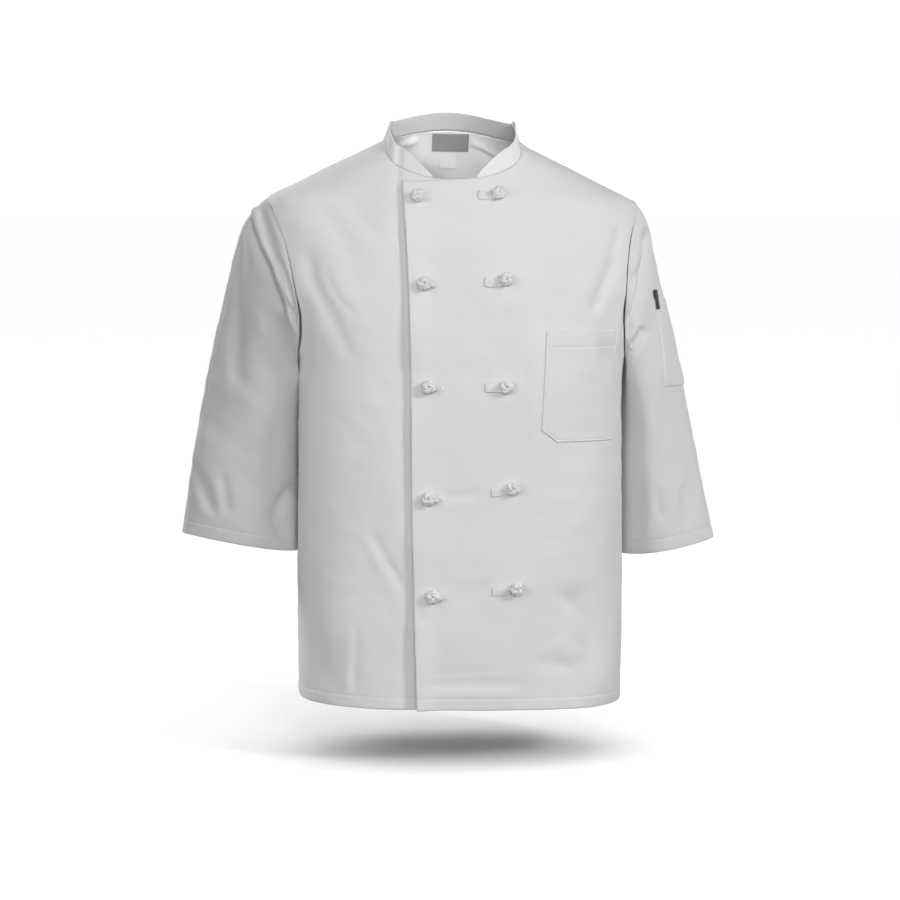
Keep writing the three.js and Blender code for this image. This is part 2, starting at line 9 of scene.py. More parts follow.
import bpy
import numpy as np
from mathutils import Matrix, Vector

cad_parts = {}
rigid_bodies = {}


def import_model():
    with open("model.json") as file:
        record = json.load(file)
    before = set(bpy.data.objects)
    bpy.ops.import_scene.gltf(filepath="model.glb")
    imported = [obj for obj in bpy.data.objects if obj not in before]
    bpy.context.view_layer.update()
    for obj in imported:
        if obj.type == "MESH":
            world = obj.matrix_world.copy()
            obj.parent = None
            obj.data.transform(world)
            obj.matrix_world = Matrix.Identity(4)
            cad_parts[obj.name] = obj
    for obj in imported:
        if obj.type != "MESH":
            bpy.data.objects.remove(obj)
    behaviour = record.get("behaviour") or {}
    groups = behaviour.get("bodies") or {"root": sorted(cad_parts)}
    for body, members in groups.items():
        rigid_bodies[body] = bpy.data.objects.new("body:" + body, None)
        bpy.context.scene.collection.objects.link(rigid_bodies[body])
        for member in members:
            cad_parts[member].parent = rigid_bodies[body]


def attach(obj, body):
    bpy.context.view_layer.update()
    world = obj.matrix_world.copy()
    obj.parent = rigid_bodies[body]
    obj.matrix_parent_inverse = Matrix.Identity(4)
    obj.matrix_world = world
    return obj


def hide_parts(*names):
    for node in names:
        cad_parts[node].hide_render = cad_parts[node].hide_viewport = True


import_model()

log = logging.getLogger("jacket")
Grid = np.ndarray
Surface = Callable[[Grid, Grid], Grid]

MM = 0.001
QUARTER = math.pi / 2
ACROSS_FIRST = (1, 0, 2)  # turns a grid's rows into its columns
HEM_Z = -734.0
ARMPIT_Z = -282.0
TIP_Z = -74.0
NECK_FRONT_Z = -49.0
NECK_BACK_Z = 15.0
OVERLAP_FALL = 12.0  # how fast a front's top edge falls past the centre front, in mm a radian
SHOULDER_RUN = 96.0  # how much longer a shoulder seam's rows are than it is high
HEM = 15.0  # how far the body's hem is sewn up
LEAN = 0.018  # it hangs a little lower on the wearer's left
ARMHOLE_FRONT = math.radians(32)
ARMHOLE_BACK = math.radians(29)
NOTCH_FADE = 2.5  # how quickly the armhole's shape dies away across a panel
TUCK = 22.0  # how far each sleeve's inner line lies back behind the body's widest point
SKEW = 0.35  # how much fuller a sleeve's front is towards the body than at its outer line
ANGLE_STEP = 0.004  # the step round a form that its normals are measured over
HEIGHT_STEP = 0.5
CREASE_SAMPLES = 8  # points of a crease's curve for each of its own
CREASE_REACH = 4.0  # how many of its widths away a crease ends
BANK_AWAY = 1.9  # where the bank beside a crease is, in widths of the crease
BANK_WIDTH = 1.1
SPACING_SAMPLES = 4001
FINE_FADE = 1.8  # how many of its half lengths away a finer stretch ends


class Side(Enum):
    """The wearer's side of a piece, as the sign of its x."""

    RIGHT = -1
    LEFT = 1


def smooth(value: Grid) -> Grid:
    """A soft step from 0 to 1."""
    t = np.clip(value, 0, 1)
    return t * t * (3 - 2 * t)


def mix(a: Grid, b: Grid, share: Grid) -> Grid:
    """What lies a share of the way from a to b."""
    return a + (b - a) * share


def power(value: Grid, exponent: Grid) -> Grid:
    """A power that keeps the value's sign."""
    return np.sign(value) * np.abs(value) ** exponent


def bell(distance: Grid, width: float) -> Grid:
    """A Gaussian bump of height 1."""
    return np.exp(-((distance / width) ** 2))


class Table:
    """Columns of sizes that are read along their first column, on a smooth curve."""

    def __init__(self, names: str, rows: list[tuple[float, ...]]) -> None:
        """Keeps the rows in rising order of their first column.

        Args:
            names: The names of the columns, the first one being the key.
            rows: One tuple of numbers for each row.
        """
        ordered = np.array(sorted(rows), float)
        self.keys = ordered[:, 0]
        self.columns = {name: ordered[:, i] for i, name in enumerate(names.split())}

    def read(self, name: str, at: Grid) -> Grid:
        """Reads one column at a place between the rows.

        Args:
            name: The column.
            at: Where along the key.

        Returns:
            The column's value there.
        """
        keys, values = self.keys, self.columns[name]
        at = np.clip(np.asarray(at, float), keys[0], keys[-1])
        i = np.clip(np.searchsorted(keys, at, side="right") - 1, 0, len(keys) - 2)
        slopes = np.diff(values) / np.diff(keys)
        bends = np.concatenate([slopes[:1], (slopes[1:] + slopes[:-1]) / 2, slopes[-1:]])
        step = keys[i + 1] - keys[i]
        t = (at - keys[i]) / step
        from_start = values[i] * (1 + 2 * t) * (1 - t) ** 2 + bends[i] * step * t * (1 - t) ** 2
        return from_start + values[i + 1] * t * t * (3 - 2 * t) - bends[i + 1] * step * t * t * (1 - t)


SECTIONS = Table("z half front back mid square_front square_back", [
    (24, 68, 36, 60, -5, 2.05, 2.05),
    (10, 80, 45, 69, -5, 2.05, 2.05),
    (0, 90, 51, 76, -5, 2.05, 2.05),
    (-14, 117, 58, 84, -5, 1.98, 1.98),
    (-34, 159, 66, 93, -5, 1.9, 1.9),
    (-54, 198, 75, 101, -4, 1.88, 1.88),
    (-74, 238, 85, 107, -3, 1.92, 1.92),
    (-92, 250, 93, 111, -2, 2.02, 2.02),
    (-120, 254, 103, 115, -1, 2.2, 2.14),
    (-180, 250, 115, 119, 2, 2.45, 2.26),
    (-240, 229, 122, 118, 5, 2.75, 2.3),
    (-282, 217, 125, 115, 6, 2.9, 2.3),
    (-400, 214, 128, 107, 6, 2.9, 2.3),
    (-560, 216, 131, 113, 6, 2.9, 2.3),
    (-760, 214, 135, 123, 5, 2.9, 2.3),
])
FRONT_EDGES = Table("z outer inner", [
    (-40, -75, 70),
    (-230, -68, 77),
    (-480, -66, 85),
    (-760, -60, 93),
])
SLEEVE = Table("along outer_x outer_z inner_x inner_z depth back hang", [
    (0, 236, -74, 217, -282, 66, 0, 0),
    (0.05, 250, -86, 219, -296, 67, 1, 2),
    (0.1, 265, -110, 219, -309, 67, 3, 7),
    (0.17, 275, -142, 219, -327, 66, 6, 10),
    (0.36, 297, -225, 218, -377, 64, 13, 11),
    (0.64, 325, -352, 217, -451, 62, 19, 10),
    (1, 357, -524, 218, -548, 60, 24, 6),
])
# How far the free edge of the outer front stands off the inner one, between its buttons
EDGE_LIFT = Table("z lift", [
    (-40, 1.2),
    (-74, 1.6),
    (-125, 4.5),
    (-183, 4),
    (-245, 7),
    (-314, 4),
    (-385, 4.5),
    (-458, 3.5),
    (-525, 4.5),
    (-585, 4),
    (-650, 8),
    (-734, 8.5),
])


@dataclass(frozen=True)
class Crease:
    """A soft trough (negative depth) or ridge along a line seen from the front or back, in mm."""

    line: tuple[tuple[float, float], ...]
    width: float
    depth: float
    bank: float = 0.0  # share of the depth that stands up again beside it, on the side of the sign
    ends: float = 4.0  # how steeply it fades at its ends

    def samples(self) -> Grid:
        """Finds points of a smooth curve through the line's points.

        Returns:
            One row of x and z for each point.
        """
        points = np.array(self.line, float)
        keys = np.linspace(0, 1, len(points))
        table = Table("t x z", [(key, *point) for key, point in zip(keys, points)])
        t = np.linspace(0, 1, CREASE_SAMPLES * len(points))
        return np.stack([table.read("x", t), table.read("z", t)], -1)

    def at(self, x: Grid, z: Grid) -> Grid:
        """How far the crease moves the cloth at some places.

        Args:
            x: Where across the jacket.
            z: How high.

        Returns:
            The depth at each place.
        """
        curve = self.samples()
        reach = CREASE_REACH * self.width
        near = (
            (x > curve[:, 0].min() - reach) & (x < curve[:, 0].max() + reach)
            & (z > curve[:, 1].min() - reach) & (z < curve[:, 1].max() + reach)
        )
        depth = np.zeros(np.shape(x))
        if not near.any():
            return depth
        place = np.stack([x[near], z[near]], -1)
        best = np.full(len(place), np.inf)
        side = np.zeros(len(place))
        share = np.zeros(len(place))
        for i, (a, b) in enumerate(zip(curve[:-1], curve[1:])):
            run = b - a
            t = np.clip(((place - a) @ run) / (run @ run), 0, 1)
            off = place - a - t[:, None] * run
            distance = np.hypot(off[:, 0], off[:, 1])
            closer = distance < best
            best = np.where(closer, distance, best)
            side = np.where(closer, np.sign(off[:, 0] * run[1] - off[:, 1] * run[0]), side)
            share = np.where(closer, (i + t) / (len(curve) - 1), share)
        profile = bell(best, self.width)
        if self.bank:
            signed = best * side * math.copysign(1, self.bank)
            beside = bell(signed - BANK_AWAY * self.width, BANK_WIDTH * self.width)
            profile = profile - abs(self.bank) * beside
        depth[near] = self.depth * profile * smooth(self.ends * share) * smooth(self.ends * (1 - share))
        return depth


@dataclass(frozen=True)
class Unevenness:
    """The small waves of cloth that hangs, as a sum of seeded sines."""

    seed: int
    shortest: float
    longest: float
    height: float
    waves: int = 22

    def at(self, u: Grid, v: Grid) -> Grid:
        """Adds the waves up.

        Args:
            u: Where across the cloth, in mm.
            v: Where up the cloth.

        Returns:
            The height at each place.
        """
        draw = np.random.default_rng(self.seed)
        total = np.zeros(np.shape(u))
        for _ in range(self.waves):
            length = draw.uniform(self.shortest, self.longest)
            turn = draw.uniform(0, 2 * math.pi)
            phase = draw.uniform(0, 2 * math.pi)
            along = u * math.cos(turn) + v * math.sin(turn)
            total += np.sin(2 * math.pi * along / length + phase) * length / self.longest
        return total * self.height / math.sqrt(self.waves / 2)


FRONT_CREASES = (
    Crease(((-196, -130), (-190, -180), (-166, -226), (-134, -290)), 11, -3.0, 0.2),
    Crease(((-178, -160), (-160, -200), (-131, -226)), 6, -1.0, 0.3),
    Crease(((-191, -74), (-165, -106), (-140, -160), (-130, -206)), 13, -2.0, 0.2),
    Crease(((-153, -70), (-125, -100), (-97, -133)), 10, -1.2, 0.2),
    Crease(((-200, -190), (-202, -260), (-198, -330)), 9, -2.5),
    Crease(((-203, -540), (-192, -640), (-176, -726)), 14, -3.5),
    Crease(((208, -138), (187, -185), (170, -224)), 10, -4.2, 0.1),
    Crease(((213, -100), (206, -126), (198, -150)), 7, -2.2, 0.2),
    Crease(((206, -190), (196, -250), (190, -300)), 16, -3),
    Crease(((140, -570), (166, -620), (184, -700)), 20, -4),
    Crease(((-66, -702), (10, -698), (88, -700)), 7, -2.0, 0.4),
    Crease(((-58, -688), (0, -684), (64, -680)), 6, -1.0, 0.3),
    Crease(((-120, -499), (-98, -540), (-72, -584)), 7, -2.2, 0.4),
    Crease(((-108, -537), (-94, -548), (-80, -559)), 4, -0.8, 0.4),
    Crease(((-136, -620), (-139, -670), (-142, -726)), 5, -1.6, 0.5),
    Crease(((-11, -598), (12, -582), (34, -560)), 7, -1.8, 0.4),
    Crease(((-56, -607), (-48, -618), (-41, -629)), 5, -1.2, 0.4),
    Crease(((-34, -450), (-4, -456), (26, -446)), 6, -1.6, 0.4),
    Crease(((92, -670), (120, -674), (153, -679)), 8, -1.6, 0.4),
    Crease(((121, -578), (157, -613), (182, -674)), 8, -2.0, 0.3),
    Crease(((121, -640), (137, -656), (153, -673)), 12, 1.8),
    Crease(((71, -73), (74, -201), (80, -265), (84, -459), (88, -590), (92, -708)), 3.5, -0.5),
)
BACK_CREASES = (
    Crease(((-196, -170), (-165, -240), (-120, -330)), 18, -4, 0.3),
    Crease(((196, -165), (160, -250), (112, -345)), 18, -4.5, -0.3),
    Crease(((-70, -90), (-74, -250), (-84, -420)), 24, -3),
    Crease(((74, -100), (84, -280), (90, -470)), 26, -3),
    Crease(((-150, -480), (-142, -600), (-128, -720)), 24, -4),
    Crease(((146, -460), (140, -600), (132, -720)), 26, -4),
    Crease(((-186, -120), (-140, -170), (-96, -250)), 12, -1.8, 0.4),
    Crease(((184, -118), (138, -175), (92, -262)), 12, -2, -0.4),
    Crease(((-30, -380), (-10, -520), (-16, -660)), 16, -1.8, 0.3),
    Crease(((30, -20), (52, -40), (66, -84)), 9, -1.2, 0.4),
    Crease(((-34, -20), (-56, -42), (-70, -86)), 9, -1.2, -0.4),
    Crease(((-40, 4), (-58, -4), (-78, -14)), 3.5, -2.2, 0.5),
    Crease(((24, 0), (44, -8), (66, -19)), 3.5, -2.2, 0.5),
)


class Torso:
    """The body of the jacket, by an angle round it: 0 at the centre front, a quarter turn at its left."""

    @staticmethod
    def form(angle: Grid, z: Grid) -> Grid:
        """Points of the plain form, in mm.

        Args:
            angle: The angle round the torso.
            z: The height.

        Returns:
            Points, with a last axis of three.
        """
        ahead = np.cos(angle) > 0
        bend = 2 / np.where(ahead, SECTIONS.read("square_front", z), SECTIONS.read("square_back", z))
        across, deep = power(np.sin(angle), bend), power(np.cos(angle), bend)
        depth = np.where(ahead, SECTIONS.read("front", z), SECTIONS.read("back", z))
        x = SECTIONS.read("mid", z) + SECTIONS.read("half", z) * across
        return np.stack([x, -depth * deep, np.broadcast_to(z, x.shape)], -1)

    @staticmethod
    def angle_at(x: Grid, z: Grid, half: str = "square_front") -> Grid:
        """Finds the angle at which one half of the form has some x.

        Args:
            x: Where across the jacket.
            z: The height.
            half: The column that holds that half's squareness.

        Returns:
            The angle, measured from that half's middle.
        """
        share = (x - SECTIONS.read("mid", z)) / SECTIONS.read("half", z)
        return np.arcsin(np.clip(power(share, SECTIONS.read(half, z) / 2), -1, 1))


def normal_of(surface: Surface, a: Grid, b: Grid, step_a: float, step_b: float) -> Grid:
    """Finds the unit normals of a surface.

    Args:
        surface: What gives its points.
        a: The first place on it, round it.
        b: The second place, along it.
        step_a: A small step round it.
        step_b: A small step along it.

    Returns:
        The normals.
    """
    along = surface(a + step_a, b) - surface(a - step_a, b)
    up = surface(a, b + step_b) - surface(a, b - step_b)
    normal = np.cross(along, up)
    return normal / np.linalg.norm(normal, axis=-1, keepdims=True)


def crease_depth(creases: tuple[Crease, ...], x: Grid, z: Grid) -> Grid:
    """How far all of some creases move the cloth together."""
    return sum((crease.at(x, z) for crease in creases), np.zeros(np.shape(x)))


class Layer(Enum):
    """Which layer of the body cloth a place belongs to."""

    BACK = "the back"
    OUTER = "the wearer's left front, which laps over"
    INNER = "the wearer's right front, which lies below"


@dataclass(frozen=True)
class BodySkin:
    """The outer surface of a body panel, with its creases and its lie over the other front."""

    layer: Layer
    rise: float = 2.4  # how far the outer front lies out from the inner one
    soften: float = 26.0
    past_edge: float = 4.0
    lift_past: float = 8.0  # how far past the softened stretch the free edge's lift goes on
    sink: float = 1.2
    gully: float = 2.0  # how deep the inner front dips beside the outer one's edge
    gully_width: float = 3.4
    waves: Unevenness = Unevenness(seed=5, shortest=60, longest=210, height=1.7)
    ripples: Unevenness = Unevenness(seed=8, shortest=16, longest=55, height=0.34)
    facing_gain: float = 1.6  # how quickly creases come in as the cloth turns to the front or back
    back_from: float = 600.0  # sets the back's waves in another part of their pattern
    calm: float = 10.0  # how far down from the neck the cloth lies still
    calm_fade: float = 60.0

    def lie(self, x: Grid, z: Grid) -> Grid:
        """How far the layer lies out from the form.

        Args:
            x: Where across the jacket.
            z: How high.

        Returns:
            The distance in mm.
        """
        if self.layer is Layer.BACK:
            return np.zeros(np.shape(x))
        outer = FRONT_EDGES.read("outer", z)
        if self.layer is Layer.INNER:
            gully = self.gully * bell(x - outer + self.gully_width, self.gully_width)
            return -self.sink * smooth((x - outer + self.soften) / self.soften) - gully
        over = FRONT_EDGES.read("inner", z) + self.past_edge + self.soften
        reach = self.soften + self.lift_past
        lift = EDGE_LIFT.read("lift", z) * smooth((outer + reach - x) / reach)
        return self.rise * smooth((over - x) / self.soften) + lift

    def place(self, angle: Grid, z: Grid) -> tuple[Grid, Grid]:
        """Places the surface's points.

        Args:
            angle: The angle round the torso.
            z: The height.

        Returns:
            The points and their normals.
        """
        base = Torso.form(angle, z)
        normal = normal_of(Torso.form, angle, z, ANGLE_STEP, HEIGHT_STEP)
        x = base[..., 0]
        facing = smooth(np.abs(normal[..., 1]) * self.facing_gain)
        front, back = crease_depth(FRONT_CREASES, x, z), crease_depth(BACK_CREASES, x, z)
        depth = np.where(normal[..., 1] < 0, front, back) * facing
        around = np.where(normal[..., 1] < 0, x, self.back_from - x)
        neck = smooth((-z - self.calm) / self.calm_fade)
        depth = depth + (self.waves.at(around, z) * facing + self.ripples.at(around, z)) * neck
        return base + normal * (depth + self.lie(x, z))[..., None], normal

    def points(self, angle: Grid, z: Grid) -> Grid:
        """Points of the surface alone."""
        return self.place(angle, z)[0]


OUTER_SKIN = BodySkin(Layer.OUTER)
INNER_SKIN = BodySkin(Layer.INNER)
BACK_SKIN = BodySkin(Layer.BACK)


def neck_z(angle: Grid) -> Grid:
    """Height of the neckline at an angle round the neck."""
    c = np.cos(angle)
    return np.where(c > 0, NECK_FRONT_Z * np.abs(c) ** 3, NECK_BACK_Z * c * c)


def front_top_z(angle: Grid) -> Grid:
    """Height of a front's top edge, which runs on past the centre front, where the fronts overlap."""
    return np.where(angle > 0, neck_z(angle), NECK_FRONT_Z + OVERLAP_FALL * angle)


def armhole_z(turn: Grid) -> Grid:
    """Height of the armhole at a turn: 0 at the shoulder tip, half a turn at the armpit."""
    return mix(ARMPIT_Z, TIP_Z, (1 + np.cos(turn)) / 2)


def spaced(length: float, pitch: float, fine: tuple[tuple[float, float, float], ...] = ()) -> Grid:
    """Places along a length, some of them closer together.

    Args:
        length: The length to divide, in mm.
        pitch: The usual distance between places.
        fine: For each finer stretch its middle, its half length and its distance between places.

    Returns:
        The places as shares of the length, from 0 to 1.
    """
    s = np.linspace(0, length, SPACING_SAMPLES)
    density = np.full(s.shape, 1 / pitch)
    for middle, reach, close in fine:
        share = smooth(FINE_FADE - np.abs(s - middle) / reach)
        density = np.maximum(density, mix(1 / pitch, 1 / close, share))
    count = np.concatenate([[0], np.cumsum((density[1:] + density[:-1]) / 2 * np.diff(s))])
    steps = max(2, round(count[-1]))
    return np.interp(np.linspace(0, count[-1], steps + 1), count, s) / length


def along_rows(points: Grid, axis: int) -> Grid:
    """Adds up the distance run along one axis of a grid.

    Args:
        points: The grid of points.
        axis: The axis to run along.

    Returns:
        The distance of each point from the axis's start.
    """
    step = np.linalg.norm(np.diff(points, axis=axis), axis=-1)
    start = np.zeros_like(np.take(step, [0], axis=axis))
    return np.concatenate([start, np.cumsum(step, axis=axis)], axis=axis)


def side_border(edge_length: float, pitch: float) -> tuple[Grid, Grid, Grid]:
    """Rows of a panel by its side border: the side seam, the armhole, then the shoulder seam.

    Args:
        edge_length: How long the armhole is on this panel.
        pitch: The distance between rows.

    Returns:
        The height of each row at the side border, its height where the rows are evenly spaced, and
        how far it is cut into by the armhole.
    """
    edge, stitches = (0, 3, 1.0), (HEM, 3, 1.1)
    side = spaced(ARMPIT_Z - HEM_Z, pitch, (edge, stitches))
    turn = math.pi * (1 - spaced(edge_length, pitch))
    shoulder_length = SHOULDER_RUN - TIP_Z
    shoulder = spaced(shoulder_length, pitch, ((shoulder_length, 3, 0.8),))
    z = np.concatenate([mix(HEM_Z, ARMPIT_Z, side), armhole_z(turn)[1:], mix(TIP_Z, 0, shoulder)[1:]])
    notch = np.concatenate([0 * side, np.sin(turn)[1:], 0 * shoulder[1:]])
    above = len(z) - len(side)
    even = np.concatenate([z[:len(side)], ARMPIT_Z * (1 - np.arange(1, above + 1) / above)])
    return z[:, None], even[:, None], notch[:, None]


def row_heights(border: Grid, even: Grid, across: Grid) -> Grid:
    """Heights of a panel's rows, evenly spaced away from the armhole."""
    return mix(even, border, np.abs(across) ** NOTCH_FADE)


def to_metres(points: Grid) -> Grid:
    """Leans the points as the jacket hangs and turns them into metres.

    Args:
        points: Points in mm.

    Returns:
        The leaned points.
    """
    leaned = points.copy()
    leaned[..., 2] -= LEAN * points[..., 0]
    return leaned * MM


def deselect() -> None:
    """Deselects every object."""
    for other in bpy.context.selected_objects:
        other.select_set(False)


def make_active(piece: bpy.types.Object) -> None:
    """Makes one object the only selected and the active one.

    Args:
        piece: The object.
    """
    deselect()
    piece.select_set(True)
    bpy.context.view_layer.objects.active = piece


def apply_modifier(piece: bpy.types.Object, kind: str, **settings: object) -> None:
    """Adds a modifier to a piece and applies it.

    Args:
        piece: The piece.
        kind: Blender's type of modifier.
        settings: The modifier's own properties.
    """
    make_active(piece)
    modifier = piece.modifiers.new(kind.title(), kind)
    for key, value in settings.items():
        setattr(modifier, key, value)
    bpy.ops.object.modifier_apply(modifier=modifier.name)


class Finish(Enum):
    """The record's material slots."""

    TWILL = "twill"
    KNOT = "knot"
    GREY_LABEL = "grey_label"
    WHITE_LABEL = "white_label"
    BLACK_LABEL = "black_label"


Line = tuple[Grid, Grid]  # points in mm and the cloth's normals at them


def level_line(points: Grid, normal: Grid, distance: Grid, level: float) -> Line:
    """The line across a grid of cloth where the distance along its columns reaches a level.

    Args:
        points: The cloth's points.
        normal: Its normals.
        distance: The distance at each point, which rises or falls along each column.
        level: The distance of the line.

    Returns:
        The line's points and normals, one for each column.
    """
    rising = distance[-1].mean() > distance[0].mean()
    past = distance > level if rising else distance < level
    row = np.clip(np.argmax(past, axis=0), 1, len(distance) - 1)
    column = np.arange(distance.shape[1])
    before, after = distance[row - 1, column], distance[row, column]
    t = np.clip((level - before) / (after - before), 0, 1)[:, None]
    return (
        mix(points[row - 1, column], points[row, column], t),
        mix(normal[row - 1, column], normal[row, column], t),
    )


def make_piece(name: str, points: Grid, faces: list[list[int]]) -> bpy.types.Object:
    """Makes a smooth piece with an empty UV map, and links it to the scene.

    Args:
        name: The piece's name.
        points: Its points in mm.
        faces: Its faces, as indices of the points.

    Returns:
        The new object.
    """
    mesh = bpy.data.meshes.new(name)
    mesh.from_pydata(to_metres(points).reshape(-1, 3).tolist(), [], faces)
    mesh.uv_layers.new(name="Cloth")
    mesh.polygons.foreach_set("use_smooth", [True] * len(mesh.polygons))
    piece = bpy.data.objects.new(name, mesh)
    bpy.context.scene.collection.objects.link(piece)
    return piece


@dataclass
class Cloth:
    """A piece of cloth as a grid of points in mm, rows upwards and columns across."""

    name: str
    points: Grid
    wrap: bool = False
    caps: bool = False
    seams: list[Line] = field(default_factory=list)

    def ring(self) -> Grid:
        """The grid with its first column again after its last where it is wrapped."""
        return np.concatenate([self.points, self.points[:, :1]], axis=1) if self.wrap else self.points

    def build(self) -> bpy.types.Object:
        """Makes the mesh, with a UV map in metres along the cloth.

        Returns:
            The new object.
        """
        rows, columns = self.points.shape[:2]
        index = np.arange(rows * columns).reshape(rows, columns)
        if self.wrap:
            index = np.concatenate([index, index[:, :1]], axis=1)
        quads = np.stack([index[:-1, :-1], index[:-1, 1:], index[1:, 1:], index[1:, :-1]], -1).reshape(-1, 4)
        faces = quads.tolist()
        if self.caps:
            faces += [index[0, :-1][::-1].tolist(), index[-1, :-1].tolist()]
        across = along_rows(self.ring(), 1)
        across = across - across[:, across.shape[1] // 2, None]
        uv = np.stack([across, along_rows(self.ring(), 0)], -1) * MM
        place = np.arange(across.size).reshape(across.shape)
        corners = np.stack([place[:-1, :-1], place[:-1, 1:], place[1:, 1:], place[1:, :-1]], -1).reshape(-1)
        if self.caps:
            corners = np.concatenate([corners, place[0, :-1][::-1], place[-1, :-1]])
        piece = make_piece(self.name, self.points, faces)
        layer = piece.data.uv_layers["Cloth"].data
        layer.foreach_set("uv", uv.reshape(-1, 2)[corners].reshape(-1).astype(np.float32))
        return piece

    def area(self) -> float:
        """Works out the cloth's area.

        Returns:
            The area in square metres.
        """
        ring = self.ring()
        one = np.cross(ring[:-1, 1:] - ring[:-1, :-1], ring[1:, :-1] - ring[:-1, :-1])
        two = np.cross(ring[1:, :-1] - ring[1:, 1:], ring[:-1, 1:] - ring[1:, 1:])
        return float((np.linalg.norm(one, axis=-1) + np.linalg.norm(two, axis=-1)).sum() / 2) * MM * MM


def dress(
    piece: bpy.types.Object, finish: Finish, material: bpy.types.Material, *nodes: str
) -> bpy.types.Object:
    """Gives a piece its material and body, and lets it stand for its CAD nodes.

    Args:
        piece: The piece.
        finish: Which slot of the record it takes; not used.
        material: Its material.
        nodes: The CAD nodes that it replaces.

    Returns:
        The piece.
    """
    piece.data.materials.clear()
    piece.data.materials.append(material)
    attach(piece, "root")
    if nodes:
        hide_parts(*nodes)
    log.info("%s: %d faces", piece.name, len(piece.data.polygons))
    return piece


def linear(colour: str) -> tuple[float, float, float, float]:
    """Turns an sRGB hex colour into a linear one.

    Args:
        colour: Six hex digits.

    Returns:
        Red, green, blue and an alpha of 1.
    """
    parts = [int(colour[i:i + 2], 16) / 255 for i in (0, 2, 4)]
    red, green, blue = (
        part / 12.92 if part <= 0.04045 else ((part + 0.055) / 1.055) ** 2.4 for part in parts
    )
    return red, green, blue, 1.0


def bare_material(name: str) -> bpy.types.Material:
    """Adds a material without nodes.

    Args:
        name: The material's name.

    Returns:
        The material.
    """
    material = bpy.data.materials.new(name)
    material.use_nodes = True
    material.node_tree.nodes.clear()
    return material


def add_node(
    tree: bpy.types.NodeTree, kind: str, inputs: dict[str, object] | None = None, **settings: object
) -> bpy.types.Node:
    """Adds a node with its settings and links.

    Args:
        tree: The node tree.
        kind: The node's type.
        inputs: For each input, a value or the output socket that feeds it.
        settings: The node's own properties.

    Returns:
        The node.
    """
    node = tree.nodes.new(kind)
    for key, value in settings.items():
        setattr(node, key, value)
    for key, value in (inputs or {}).items():
        if isinstance(value, bpy.types.NodeSocket):
            tree.links.new(value, node.inputs[key])
        else:
            node.inputs[key].default_value = value
    return node


WAVE = math.pi / 10  # a wave texture's period, times its scale


@dataclass(frozen=True)
class Twill:
    """Woven cotton and polyester twill: matt, with fine slanting ribs and a soft sheen at its edges."""

    name: str = "cotton polyester twill"
    colour: str = "e9e9e9"
    shade: str = "e2e2e2"
    roughness: float = 0.86
    sheen: float = 0.18
    # Real ribs are about 0.5 mm apart, too fine to show, so they are drawn twice as coarse
    rib_mm: float = 1.1
    rib_turn: float = math.radians(63)
    rib_height: float = 0.12
    slub_mm: float = 7.0
    slub_height: float = 0.25
    slub_depth_mm: float = 0.6
    rib_depth_mm: float = 0.3
    patch_mm: float = 71.43  # patches of yarn that took the bleach a little differently

    def build(self) -> bpy.types.Material:
        """Makes the material.

        Returns:
            The new material.
        """
        material = bare_material(self.name)
        tree = material.node_tree
        uv = add_node(tree, "ShaderNodeTexCoord").outputs["UV"]
        turned = add_node(tree, "ShaderNodeMapping", {"Vector": uv, "Rotation": (0, 0, self.rib_turn)})
        ribs = add_node(
            tree, "ShaderNodeTexWave",
            {"Vector": turned.outputs["Vector"], "Scale": WAVE / (self.rib_mm * MM), "Distortion": 0.4},
        )
        slubs = add_node(
            tree, "ShaderNodeTexNoise",
            {"Vector": uv, "Scale": 1 / (self.slub_mm * MM), "Detail": 3.0, "Roughness": 0.6},
        )
        patches = add_node(
            tree, "ShaderNodeTexNoise", {"Vector": uv, "Scale": 1 / (self.patch_mm * MM), "Detail": 2.0}
        )
        tint = add_node(
            tree, "ShaderNodeMix",
            {"Factor": patches.outputs["Fac"], "A": linear(self.shade), "B": linear(self.colour)},
            data_type="RGBA",
        )
        soft = add_node(
            tree, "ShaderNodeBump",
            {"Height": slubs.outputs["Fac"], "Strength": self.slub_height,
             "Distance": self.slub_depth_mm * MM},
        )
        woven = add_node(
            tree, "ShaderNodeBump",
            {"Height": ribs.outputs["Fac"], "Strength": self.rib_height,
             "Distance": self.rib_depth_mm * MM, "Normal": soft.outputs["Normal"]},
        )
        shader = add_node(
            tree, "ShaderNodeBsdfPrincipled",
            {"Base Color": tint.outputs["Result"], "Roughness": self.roughness, "Sheen Weight": self.sheen,
             "Sheen Roughness": 0.5, "Specular IOR Level": 0.25, "Normal": woven.outputs["Normal"]},
        )
        add_node(tree, "ShaderNodeOutputMaterial", {"Surface": shader.outputs["BSDF"]})
        return material


